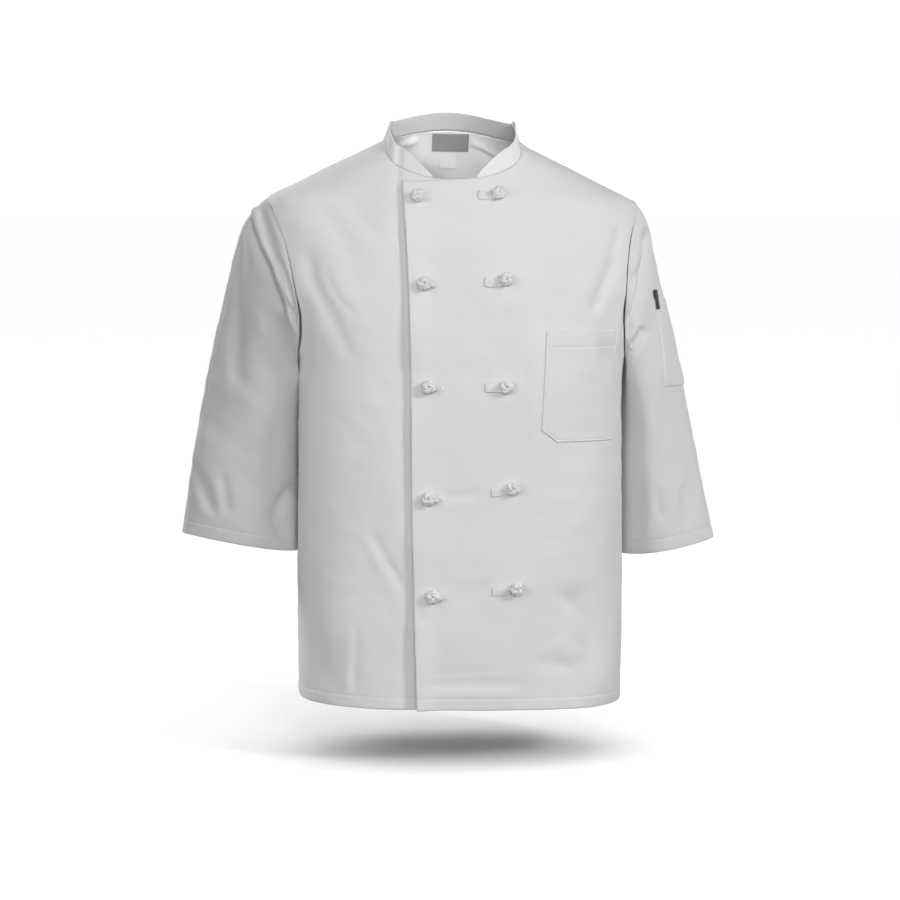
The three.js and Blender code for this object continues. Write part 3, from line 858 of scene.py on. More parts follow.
@dataclass(frozen=True)
class KnottedCloth:
    """Bias strips of the body cloth rolled into cord: matt and a little crumpled, without clear ribs, with
    painted shade in the hollows of its crumples.
    """

    name: str = "rolled cotton strip"
    colour: str = "ededec"
    # the painted shade that the cord takes in the hollows of its crumples
    shade: str = "dfdfde"
    roughness: float = 0.85
    crumple_mm: float = 2.4
    crumple_height: float = 0.5
    crumple_depth_mm: float = 0.6

    def build(self) -> bpy.types.Material:
        """Makes the material.

        Returns:
            The new material.
        """
        material = bare_material(self.name)
        tree = material.node_tree
        place = add_node(tree, "ShaderNodeTexCoord").outputs["Object"]
        crumple_and_painted_shade = add_node(
            tree, "ShaderNodeTexNoise",
            {"Vector": place, "Scale": 1 / (self.crumple_mm * MM), "Detail": 3.0, "Roughness": 0.6},
        )
        # Painted shade: the cord is coloured darker where its crumples sink, by the same noise as its bump
        tint = add_node(
            tree, "ShaderNodeMix",
            {"Factor": crumple_and_painted_shade.outputs["Fac"], "A": linear(self.shade), "B": linear(self.colour)},
            data_type="RGBA",
        )
        bump = add_node(
            tree, "ShaderNodeBump",
            {"Height": crumple_and_painted_shade.outputs["Fac"], "Strength": self.crumple_height,
             "Distance": self.crumple_depth_mm * MM},
        )
        shader = add_node(
            tree, "ShaderNodeBsdfPrincipled",
            {"Base Color": tint.outputs["Result"], "Roughness": self.roughness, "Sheen Weight": 0.15,
             "Specular IOR Level": 0.25, "Normal": bump.outputs["Normal"]},
        )
        add_node(tree, "ShaderNodeOutputMaterial", {"Surface": shader.outputs["BSDF"]})
        return material


@dataclass(frozen=True)
class LabelWeave:
    """Polyester woven with its long threads on top: smoother than the body cloth, with fine cross ribs."""

    name: str
    colour: str
    shade: str
    roughness: float
    rib_mm: float
    rib_height: float = 0.3
    rib_depth_mm: float = 0.2

    def build(self) -> bpy.types.Material:
        """Makes the material.

        Returns:
            The new material.
        """
        material = bare_material(self.name)
        tree = material.node_tree
        place = add_node(tree, "ShaderNodeTexCoord").outputs["Object"]
        ribs = add_node(
            tree, "ShaderNodeTexWave",
            {"Vector": place, "Scale": WAVE / (self.rib_mm * MM), "Distortion": 0.3},
            bands_direction="Z",
        )
        tint = add_node(
            tree, "ShaderNodeMix",
            {"Factor": ribs.outputs["Fac"], "A": linear(self.shade), "B": linear(self.colour)},
            data_type="RGBA",
        )
        bump = add_node(
            tree, "ShaderNodeBump",
            {"Height": ribs.outputs["Fac"], "Strength": self.rib_height,
             "Distance": self.rib_depth_mm * MM},
        )
        shader = add_node(
            tree, "ShaderNodeBsdfPrincipled",
            {"Base Color": tint.outputs["Result"], "Roughness": self.roughness,
             "Specular IOR Level": 0.4, "Normal": bump.outputs["Normal"]},
        )
        add_node(tree, "ShaderNodeOutputMaterial", {"Surface": shader.outputs["BSDF"]})
        return material


@dataclass(frozen=True)
class BorderDetail:
    """How a panel's borders are finished, as a height over the distance from each border in mm."""

    roll: float = 0.9
    roll_width: float = 0.9
    seam_dip: float = 0.25  # the shallow dip beside a seam, over its allowance
    seam_away: float = 2.0
    seam_width: float = 2.2
    edge_round: float = 0.7
    hem_rise: float = 0.25
    groove: float = 0.45
    groove_width: float = 1.2
    pucker: float = 0.3
    pucker_pitch: float = 11.0
    pucker_width: float = 4.5
    drift: float = 19.0  # how far along a hem its puckers' spacing changes
    swell: float = 31.0  # how far along a hem their height changes

    def sewn(self, distance: Grid) -> Grid:
        """A border that turns in to a seam."""
        dip = self.seam_dip * bell(distance - self.seam_away, self.seam_width)
        return -self.roll * bell(distance, self.roll_width) - dip

    def free(self, distance: Grid) -> Grid:
        """A folded, free border, rounded over."""
        return -self.edge_round * bell(distance, self.roll_width)

    def hem(self, distance: Grid, at: float, along: Grid) -> Grid:
        """A hem sewn down at some distance from its edge, with small puckers along its stitches.

        Args:
            distance: The distance from the edge.
            at: How far from the edge it is sewn.
            along: The distance along the edge.

        Returns:
            The height at each place.
        """
        fold = self.hem_rise * smooth((at - distance) / 2.5)
        groove = -self.groove * bell(distance - at, self.groove_width)
        uneven = 0.6 + 0.4 * np.sin(along / self.swell)
        wave = 2 * math.pi * along / self.pucker_pitch + 1.9 * np.sin(along / self.drift)
        return fold + groove + self.pucker * np.sin(wave) * uneven * bell(distance - at, self.pucker_width)


DETAIL = BorderDetail()


@dataclass(frozen=True)
class Front:
    """One front of the body, from its free edge to the side seam, armhole and shoulder."""

    side: Side
    skin: BodySkin
    edge_column: str
    pitch: float = 3.4
    armhole_length: float = 290.0
    width: float = 340.0
    shoulder_stitch: float = 5.0
    stitch_groove: float = 0.4
    stitch_width: float = 1.3
    neck_roll: float = 0.4  # how much of a seam's roll the neckline has
    thickness: float = 1.4
    rounds: int = 12  # of the search for the free edge's upper end

    def edge_angle(self) -> float:
        """Finds the angle of the free edge at the top.

        Returns:
            The angle, whose sign is the side's.
        """
        edge = 0.0
        for _ in range(self.rounds):
            z = float(front_top_z(np.float64(self.side.value * edge)))
            edge = float(Torso.angle_at(FRONT_EDGES.read(self.edge_column, z), z))
        return edge

    def places(self) -> tuple[Grid, Grid]:
        """Lays out the grid, rows upwards and columns from the free edge to the side.

        Returns:
            The angles and heights of its points.
        """
        sign = self.side.value
        across = spaced(self.width, self.pitch, ((0, 3, 0.9), (self.width, 3, 0.8)))[None, :]
        border, even, notch = side_border(self.armhole_length, self.pitch)
        top = mix(self.edge_angle(), sign * QUARTER, across)
        z = mix(HEM_Z, front_top_z(sign * top), 1 - row_heights(border, even, across) / HEM_Z)
        edge = Torso.angle_at(FRONT_EDGES.read(self.edge_column, z[:, :1]), z[:, :1])
        angle = mix(edge, sign * QUARTER, across) - sign * notch * ARMHOLE_FRONT * across ** NOTCH_FADE
        return angle, z

    def cloth(self) -> Cloth:
        """Makes the outer surface, with its borders finished.

        Returns:
            The cloth.
        """
        angle, z = self.places()
        points, normal = self.skin.place(angle, z)
        run, rise = along_rows(points, 1), along_rows(points, 0)
        to_side = run[:, -1:] - run
        to_top = rise[-1:] - rise
        height = DETAIL.sewn(to_side) + DETAIL.free(run) + DETAIL.free(rise) + DETAIL.hem(rise, HEM, run)
        height += self.neck_roll * DETAIL.sewn(to_top) * smooth((run - 2) / 6)
        groove = self.stitch_groove * bell(to_side - self.shoulder_stitch, self.stitch_width)
        height -= groove * smooth((z - TIP_Z) / 6)
        points = points + normal * height[..., None]
        hem = level_line(points, normal, rise, HEM)
        turned, turned_normal = points.transpose(ACROSS_FIRST), normal.transpose(ACROSS_FIRST)
        topstitch = level_line(turned, turned_normal, to_side.T, self.shoulder_stitch)
        high = topstitch[0][:, 2] > TIP_Z + 3
        seams = [hem, (topstitch[0][high], topstitch[1][high])]
        if self.side is Side.RIGHT:
            points = points[:, ::-1]
        return Cloth(f"{self.side.name.lower()}_front_cloth", points, seams=seams)


@dataclass(frozen=True)
class Back:
    """The back of the body, in one piece."""

    pitch: float = 4.0
    armhole_length: float = 270.0
    width: float = 620.0
    thickness: float = 1.4

    def cloth(self) -> Cloth:
        """Makes the outer surface, with its borders finished.

        Returns:
            The cloth.
        """
        fine = ((0, 3, 0.9), (self.width, 3, 0.9))
        across = (2 * spaced(self.width, self.pitch, fine) - 1)[None, :]
        border, even, notch = side_border(self.armhole_length, self.pitch)
        z = mix(HEM_Z, neck_z(math.pi - across * QUARTER), 1 - row_heights(border, even, across) / HEM_Z)
        cut = np.sign(across) * notch * ARMHOLE_BACK * np.abs(across) ** NOTCH_FADE
        points, normal = BACK_SKIN.place(math.pi - across * QUARTER + cut, z)
        run, rise = along_rows(points, 1), along_rows(points, 0)
        to_side = np.minimum(run, run[:, -1:] - run)
        height = DETAIL.sewn(to_side) + DETAIL.free(rise) + DETAIL.hem(rise, HEM, run)
        height += DETAIL.sewn(rise[-1:] - rise)
        points = points + normal * height[..., None]
        return Cloth("back_cloth", points[:, ::-1], seams=[level_line(points, normal, rise, HEM)])


RIGHT_SLEEVE_CREASES = (
    Crease(
        ((-274, -96), (-270, -118), (-262, -140), (-251, -169), (-243, -195), (-229, -235)), 7, -11, ends=7
    ),
    Crease(((-264, -140), (-252, -178), (-240, -220), (-226, -280)), 16, -5),
    Crease(
        ((-261, -82), (-263, -105), (-257, -133), (-240, -172), (-233, -193), (-215, -228)), 4.5, 6, ends=7
    ),
    Crease(((-254, -114), (-245, -138), (-234, -158), (-219, -184)), 3.6, -3.0),
    Crease(((-254, -84), (-251, -105), (-245, -123), (-232, -150)), 3.6, -2.4),
    Crease(((-224, -176), (-216, -204), (-208, -236)), 5, -5),
    Crease(((-238, -182), (-221, -217), (-207, -252)), 3.6, -4.0, 0.5),
    Crease(((-284, -92), (-290, -190), (-292, -250), (-289, -340)), 13, -8, ends=5),
    Crease(((-312, -180), (-316, -250), (-322, -330)), 14, -4),
    Crease(((-262, -192), (-257, -225), (-253, -268)), 12, 4),
    Crease(((-350, -425), (-332, -465), (-316, -503)), 8, -3.0, 0.4),
    Crease(((-309, -438), (-305, -470), (-301, -502)), 7, -2.2, 0.4),
    Crease(((-204, -450), (-238, -496), (-220, -541)), 9, -7),
    Crease(((-206, -300), (-208, -400), (-212, -500)), 16, -6),
    Crease(((-316, -250), (-322, -330), (-334, -400)), 18, -2.5),
)
LEFT_SLEEVE_CREASES = (
    Crease(((254, -104), (251, -136), (246, -163), (237, -200), (228, -226), (214, -258)), 8, -13, 0.3, 6),
    Crease(((246, -112), (243, -154), (235, -186), (225, -214), (214, -238)), 4.5, 5, 0, 6),
    Crease(((236, -96), (228, -118), (220, -142)), 5.5, -6, 0.2, 6),
    Crease(((232, -164), (224, -182), (217, -200)), 5, -6, 0.2, 6),
    Crease(((250, -238), (238, -256), (217, -282)), 7, -8, 0.3, 6),
    Crease(((236, -320), (240, -430), (240, -530)), 14, -4),
    Crease(((268, -452), (269, -476), (272, -500)), 6, -2.2, 0.4),
    Crease(((306, -444), (305, -469), (303, -494)), 7, -2.2, 0.4),
    Crease(((322, -430), (314, -470), (306, -512)), 9, -2.2, 0.3),
    Crease(((290, -250), (292, -330), (298, -400)), 20, -2.2),
)


@dataclass(frozen=True)
class Sleeve:
    """A three-quarter sleeve, by a turn round it and a share along it."""

    side: Side
    inner_fit: float  # how its inner line differs from the table's, away from the body
    depth_fit: float
    grown_by: float = 0.3  # the share of its length by which it has its full shape
    seam_by: float = 0.35  # the share of its length over which it leaves the armhole's curve
    pitch: float = 3.1
    length: float = 470.0
    columns: int = 132
    hem: float = 17.0
    hem_band: tuple[float, float, float] = (18.0, 8.0, 1.3)  # where its rows are closer for the hem
    facing_gain: float = 2.6  # how quickly creases come in as the cloth turns to the front or back
    creased_from: float = 0.04  # the share of its length past which the creases are whole
    rippled_from: float = 0.06
    back_from: float = 700.0  # sets the back's waves in another part of their pattern
    rounds: int = 26  # of the search for a height along it
    thickness: float = 1.4

    def form(self, turn: Grid, along: Grid) -> Grid:
        """Places the plain form's points, in mm.

        Args:
            turn: 0 along the outer line, a quarter turn at the front, half a turn at the inner line.
            along: 0 at the armhole, 1 at the cuff.

        Returns:
            Points, with a last axis of three.
        """
        sign = self.side.value
        turn, along = np.broadcast_arrays(turn, along)
        c, s = np.cos(turn), np.sin(turn)

        def ring(at: Grid, share: Grid) -> Grid:
            """Places the rings, with a share of how they differ from the table's.

            Args:
                at: Where along the sleeve.
                share: The share.

            Returns:
                Their points.
            """
            outer = SLEEVE.read("outer_x", at) - sign * SLEEVE.read("hang", at)
            inner = SLEEVE.read("inner_x", at) + self.inner_fit * share
            depth = SLEEVE.read("depth", at) + self.depth_fit * share
            depth = depth * np.where(s > 0, 1 - SKEW * share * c, 1)
            x = mix(inner, outer, (1 + c) / 2)
            y = SLEEVE.read("back", at) + TUCK * share * (1 - c) / 2 - depth * s
            z = mix(SLEEVE.read("inner_z", at), SLEEVE.read("outer_z", at), (1 + c) / 2)
            return np.stack([sign * x, y, z], -1)

        opening = sign * (QUARTER - np.where(s > 0, ARMHOLE_FRONT, ARMHOLE_BACK) * s)
        seam = Torso.form(opening, armhole_z(turn))
        start = (seam - ring(0 * along, 0 * along)) * (1 - smooth(along / self.seam_by))[..., None]
        return ring(along, smooth(along / self.grown_by)) + start

    def place(self, turn: Grid, along: Grid) -> tuple[Grid, Grid]:
        """Places the surface's points.

        Args:
            turn: The turn round the sleeve.
            along: The share along it.

        Returns:
            The points and their normals.
        """
        turn, along = np.broadcast_arrays(turn, along)
        base = self.form(turn, along)
        normal = normal_of(self.form, turn, along, ANGLE_STEP, ANGLE_STEP) * self.side.value
        ahead = LEFT_SLEEVE_CREASES if self.side is Side.LEFT else RIGHT_SLEEVE_CREASES
        behind = RIGHT_SLEEVE_CREASES if self.side is Side.LEFT else LEFT_SLEEVE_CREASES
        x, z = base[..., 0], base[..., 2]
        facing = smooth(np.abs(normal[..., 1]) * self.facing_gain) * smooth(along / self.creased_from)
        front = normal[..., 1] < 0
        depth = np.where(front, crease_depth(ahead, x, z), crease_depth(behind, -x, z)) * facing
        waves = Unevenness(seed=31 + self.side.value, shortest=60, longest=190, height=1.3)
        ripples = Unevenness(seed=41 + self.side.value, shortest=16, longest=50, height=0.34)
        around = np.where(front, x, self.back_from - x)
        depth = depth + waves.at(around, z) * facing
        depth = depth + ripples.at(around, z) * smooth(along / self.rippled_from)
        return base + normal * depth[..., None], normal

    def along_at(self, turn: Grid, z: Grid) -> Grid:
        """Finds the share along the sleeve at which its form reaches a height.

        Args:
            turn: The turn round the sleeve.
            z: The height.

        Returns:
            The share.
        """
        turn, z = np.broadcast_arrays(turn, z)
        low, high = np.zeros(z.shape), np.ones(z.shape)
        for _ in range(self.rounds):
            middle = (low + high) / 2
            above = self.form(turn, middle)[..., 2] > z
            low, high = np.where(above, middle, low), np.where(above, high, middle)
        return low

    def cloth(self) -> Cloth:
        """Makes the outer surface, with its borders finished.

        Returns:
            The cloth.
        """
        above, reach, close = self.hem_band
        fine = ((0, 3, 0.8), (self.length - above, reach, close), (self.length, 3, 1.0))
        along = spaced(self.length, self.pitch, fine)[:, None]
        turn = np.linspace(0, 2 * math.pi, self.columns + 1)[:-1][None, :]
        points, normal = self.place(turn, along)
        down = along_rows(points, 0)
        to_cuff = down[-1:] - down
        around = along_rows(points, 1)
        height = DETAIL.sewn(down) + DETAIL.free(to_cuff) + DETAIL.hem(to_cuff, self.hem, around)
        points = points + normal * height[..., None]
        seams = [level_line(points, normal, to_cuff, self.hem)]
        if self.side is Side.RIGHT:
            points = points[::-1]
        return Cloth(f"{self.side.name.lower()}_sleeve_cloth", points, wrap=True, seams=seams)


@dataclass(frozen=True)
class Collar:
    """The stand collar: a double band round the neckline with rounded ends."""

    height: float = 27.0
    end_height: float = 2.0
    end_round: float = 46.0
    lean_front: float = math.radians(10)
    lean_back: float = math.radians(30)
    lean_from: float = 1.2  # the cosines over which the front's lean turns into the back's
    lean_over: float = 2.2
    clear: float = math.radians(8)
    stitch: float = 4.0
    stitch_groove: float = 0.35
    end_curve: float = 1.6
    roll: float = 1.4  # how far down from the top edge its section rounds off
    thickness: float = 2.4
    columns: int = 210
    step: float = 0.02

    def ends(self) -> tuple[float, float]:
        """Finds the collar's two ends.

        Returns:
            Their angles, measured round by the wearer's left.
        """
        left = Front(Side.LEFT, OUTER_SKIN, "outer")
        right = Front(Side.RIGHT, INNER_SKIN, "inner")
        first = np.linspace(left.edge_angle(), QUARTER, 19)
        last = np.linspace(right.edge_angle(), -QUARTER, 21)
        return float(first[first > self.clear][0]), float(last[last < -self.clear][0]) + 2 * math.pi

    def neck_point(self, angle: Grid) -> Grid:
        """Places the neckline's points, on whichever panel is there.

        Args:
            angle: The angle round the neck.

        Returns:
            The points.
        """
        z = neck_z(angle)
        own = [skin.points(angle, z) for skin in (OUTER_SKIN, INNER_SKIN, BACK_SKIN)]
        chosen = np.where((angle < QUARTER)[..., None], own[0], own[2])
        return np.where((angle > 3 * QUARTER)[..., None], own[1], chosen)

    def skin(self, angle: Grid, up: Grid) -> Grid:
        """Places the points of the collar's outer face.

        Args:
            angle: The angle round the neck.
            up: The share of its height.

        Returns:
            The points.
        """
        angle, up = np.broadcast_arrays(angle, up)
        start, end = (self.neck_point(np.array([last])) for last in self.ends())
        base = self.neck_point(angle)
        along = self.neck_point(angle + self.step) - self.neck_point(angle - self.step)
        flat = np.stack([-along[..., 1], along[..., 0], 0 * along[..., 0]], -1)
        inward = flat / np.linalg.norm(flat, axis=-1, keepdims=True)
        behind = smooth((self.lean_from - np.cos(angle)) / self.lean_over)
        lean = mix(self.lean_front, self.lean_back, behind)
        near = np.where((angle < math.pi)[..., None], start, end)
        share = np.clip(np.linalg.norm(base - near, axis=-1) / self.end_round, 0, 1)
        full = self.end_height + (self.height - self.end_height) * (1 - (1 - share) ** self.end_curve)
        height = full * up
        point = base + inward * (np.sin(lean) * height)[..., None]
        point[..., 2] = base[..., 2] + np.cos(lean) * height
        return point

    def cloth(self) -> Cloth:
        """Runs the band's section round: up its outer face, over the top and down its inner face.

        Returns:
            The cloth, closed all round.
        """
        first, last = self.ends()
        angle = np.linspace(first, last, self.columns)[None, :]
        up = spaced(self.height, 2.6, ((self.height, 1.5, 0.7),))[:, None]
        outer = self.skin(angle, up)
        normal = normal_of(self.skin, angle, up, self.step, self.step)
        edge = np.minimum(up, 1) * self.height
        rolled = np.clip((edge - self.height + self.roll) / self.roll, 0, 1)
        swell = 0.5 * self.thickness * (1 - np.sqrt(np.clip(1 - rolled ** 2, 0, 1)))
        stitch = -self.stitch_groove * bell(edge - self.height + self.stitch, 1.2)
        face = outer + normal * (stitch - swell)[..., None]
        inner = outer - normal * (self.thickness + stitch - swell)[..., None]
        level = np.broadcast_to(edge, face.shape[:2])
        seams = [
            level_line(face, normal, level, self.height - self.stitch),
            level_line(inner, -normal, level, self.height - self.stitch),
        ]
        section = np.concatenate([face, inner[::-1]], axis=0)
        return Cloth("collar_cloth", section.transpose(1, 0, 2)[::-1], wrap=True, caps=True, seams=seams)


def read_along(values: Grid, run: Grid, at: Grid) -> Grid:
    """Reads vectors along a line.

    Args:
        values: The vectors at the line's points.
        run: The distance of each point along the line.
        at: Where to read.

    Returns:
        The vectors there.
    """
    return np.stack([np.interp(at, run, values[:, axis]) for axis in range(3)], -1)


@dataclass(frozen=True)
class Thread:
    """Lockstitches of white thread along seams, each a short raised bead of a few faces."""

    stitch: float = 2.6
    pitch: float = 3.3
    radius: float = 0.3
    sides: int = 5
    first: float = 1.5  # how far from a seam's start its first stitch is
    last: float = 1.0

    def build(self, name: str, seams: list[Line]) -> bpy.types.Object:
        """Makes all the stitches of some seams as one mesh.

        Args:
            name: The name of the piece.
            seams: Lines of points and normals on the cloth.

        Returns:
            The new object.
        """
        shares = np.array([0, 0.12, 0.5, 0.88, 1])
        swell = np.array([0.35, 0.85, 1, 0.85, 0.35])
        rise = np.array([-0.25, 0.05, 0.15, 0.05, -0.25])
        turn = np.arange(self.sides) * 2 * math.pi / self.sides
        beads = []
        for points, normals in seams:
            step = np.linalg.norm(np.diff(points, axis=0), axis=-1)
            run = np.concatenate([[0], np.cumsum(step)])
            start = np.arange(self.first, run[-1] - self.stitch - self.last, self.pitch)
            at = start[:, None] + shares[None, :] * self.stitch
            place, up = read_along(points, run, at), read_along(normals, run, at)
            up /= np.linalg.norm(up, axis=-1, keepdims=True)
            run_on = place[:, -1:] - place[:, :1]
            side = np.cross(run_on / np.linalg.norm(run_on, axis=-1, keepdims=True), up)
            centre = place + up * rise[None, :, None]
            spoke = side[:, :, None] * np.cos(turn)[:, None] + up[:, :, None] * np.sin(turn)[:, None]
            beads.append(centre[:, :, None] + spoke * (self.radius * swell)[None, :, None, None])
        rings = np.concatenate(beads)
        count, levels, sides = rings.shape[:3]
        index = np.arange(count * levels * sides).reshape(count, levels, sides)
        around = np.roll(index, -1, axis=2)
        quads = np.stack([index[:, :-1], around[:, :-1], around[:, 1:], index[:, 1:]], -1).reshape(-1, 4)
        faces = quads[:, ::-1].tolist()
        faces += index[:, 0].tolist() + index[:, -1, ::-1].tolist()
        return make_piece(name, rings, faces)


@dataclass(frozen=True)
class ChestPocket:
    """The patch pocket on the wearer's left chest, with clipped lower corners."""

    front_angle: tuple[float, float] = (19.5, 17.8)  # degrees, at its top and its bottom
    side_angle: tuple[float, float] = (58.7, 66.1)
    top: float = -241.0
    bottom: float = -385.0
    corner: float = 16.0
    chest_radius: float = 140.0  # turns the clipped corner from millimetres into an angle
    stitch: float = 3.2
    mouth_hem: float = 21.0
    width: float = 108.0
    pitch: float = 2.6
    stand: float = 2.2  # how far its face stands off the front
    seat: float = 0.5  # how far its border does
    press: float = 1.6  # how far in from its border it rises
    lip: float = 0.35
    gape: float = 2.6  # how far its mouth stands open
    gape_reach: float = 22.0
    groove: float = 0.55
    hem_groove: float = 0.5
    pucker: float = 0.14
    pucker_pitch: float = 8.0
    border_reach: float = 40.0  # past which the distance from the border isn't counted
    skip: int = 4  # grid columns that a line across leaves out at each end
    thickness: float = 1.1

    def cloth(self) -> Cloth:
        """Makes the pocket's face, pressed round at its border and grooved along its stitches.

        Returns:
            The cloth.
        """
        height = self.top - self.bottom
        fine = ((0, 2, 0.6), (self.stitch, 2, 0.8))
        top_fine = fine + ((height, 2, 0.6), (height - self.mouth_hem, 3, 0.9))
        up = spaced(height, self.pitch, top_fine)[:, None]
        side_fine = fine + ((self.width, 2, 0.6), (self.width - self.stitch, 2, 0.8))
        across = spaced(self.width, self.pitch, side_fine)[None, :]
        z = mix(self.bottom, self.top, up)
        front = np.radians(mix(self.front_angle[1], self.front_angle[0], up))
        side = np.radians(mix(self.side_angle[1], self.side_angle[0], up))
        cut = np.clip(self.corner - up * height, 0, self.corner)
        shrink = cut / self.chest_radius
        angle = mix(front + shrink, side - shrink, across)
        points, normal = OUTER_SKIN.place(angle, z + 0 * angle)
        run = along_rows(points, 1)
        u, v = run + cut, up * height
        whole = run[:, -1:] + 2 * cut
        corner = np.minimum(u + v - self.corner, whole - u + v - self.corner) / math.sqrt(2)
        border = np.maximum(np.minimum(np.minimum(np.minimum(u, whole - u), v + 0 * u), corner), 0)
        to_top = height - v + 0 * u
        press = 1 - np.clip(1 - border / self.press, 0, 1) ** 2
        lip = 1 - self.lip * bell(to_top, 0.9)
        gape = self.gape * bell(to_top, self.gape_reach) * np.sin(math.pi * np.clip(across, 0, 1)) ** 1.4
        groove = self.groove * bell(border - self.stitch, 1.1) * (to_top > 1)
        hem = self.hem_groove * bell(to_top - self.mouth_hem, 1.2) * smooth(border / 3)
        pucker = self.pucker * np.sin((u + v) * 2 * math.pi / self.pucker_pitch)
        pucker = pucker * bell(border - self.stitch, 3.5)
        rise = self.seat + (self.stand - self.seat) * press * lip + gape * press - groove - hem + pucker
        points = points + normal * rise[..., None]
        return Cloth("chest_pocket_cloth", points, seams=self.seams(points, normal, border, to_top))

    def seams(self, points: Grid, normal: Grid, border: Grid, to_top: Grid) -> list[Line]:
        """Finds the stitched lines: up each side, along the bottom, and the mouth's hem.

        Args:
            points: The pocket's points.
            normal: Their normals.
            border: Their distance from the border.
            to_top: Their distance from the mouth.

        Returns:
            The lines.
        """
        middle = points.shape[1] // 2
        tall = to_top[:, 0] < to_top.max() - self.corner
        halves = [
            level_line(
                points[tall][:, half].transpose(ACROSS_FIRST), normal[tall][:, half].transpose(ACROSS_FIRST),
                border[tall][:, half].T, self.stitch,
            )
            for half in (slice(0, middle), slice(middle, None))
        ]
        near = np.minimum(border, self.border_reach)
        low = level_line(points[:middle], normal[:middle], near[:middle], self.stitch)
        wide = slice(self.skip, -self.skip)
        mouth = level_line(points, normal, to_top, self.mouth_hem)
        return [*halves, (low[0][wide], low[1][wide]), (mouth[0][wide], mouth[1][wide])]


@dataclass(frozen=True)
class SleevePocket:
    """The flat pen pocket on the wearer's left sleeve, its far edge round the side of the arm."""

    sleeve: Sleeve
    side_turn: float = math.radians(8)
    front_turn: tuple[float, float] = (53.0, 69.0)  # degrees, at its top and its bottom
    top: float = -203.0
    bottom: float = -318.0
    stitch: float = 2.6
    mouth_hem: float = 16.0
    width: float = 60.0
    pitch: float = 2.8
    stand: float = 1.9
    seat: float = 0.5
    press: float = 1.5
    lip: float = 0.35
    groove: float = 0.5
    hem_groove: float = 0.4
    foot: float = 4.0  # how far above its lower edge the side stitches start
    past: float = 30.0  # what is added to the distance from the border below that
    thickness: float = 1.0

    def cloth(self) -> Cloth:
        """Makes the pocket's face.

        Returns:
            The cloth.
        """
        height = self.top - self.bottom
        fine = ((0, 2, 0.6), (self.stitch, 2, 0.8))
        up = spaced(height, self.pitch, fine + ((height, 2, 0.6),))[:, None]
        side_fine = fine + ((self.width, 2, 0.6), (self.width - self.stitch, 2, 0.8))
        across = spaced(self.width, self.pitch, side_fine)[None, :]
        front = np.radians(mix(self.front_turn[1], self.front_turn[0], up))
        turn = mix(self.side_turn, front, across)
        z = mix(self.bottom, self.top, up) + 0 * turn
        points, normal = self.sleeve.place(turn, self.sleeve.along_at(turn, z))
        run = along_rows(points, 1)
        v = up * height + 0 * run
        border = np.minimum(np.minimum(run, run[:, -1:] - run), v)
        to_top = height - v
        press = 1 - np.clip(1 - border / self.press, 0, 1) ** 2
        lip = 1 - self.lip * bell(to_top, 0.9)
        groove = self.groove * bell(border - self.stitch, 1.0) * (to_top > 1)
        hem = self.hem_groove * bell(to_top - self.mouth_hem, 1.1) * smooth(border / 3)
        rise = self.seat + (self.stand - self.seat) * press * lip - groove - hem
        points = points + normal * rise[..., None]
        middle = points.shape[1] // 2
        seams = [
            level_line(
                points[:, half].transpose(ACROSS_FIRST), normal[:, half].transpose(ACROSS_FIRST),
                border[:, half].T + self.past * (v[:, half].T < self.foot), self.stitch,
            )
            for half in (slice(0, middle), slice(middle, None))
        ]
        seams.append(level_line(points, normal, v, self.stitch))
        seams.append(level_line(points, normal, to_top, self.mouth_hem))
        return Cloth("sleeve_pocket_cloth", points[:, ::-1], seams=seams)


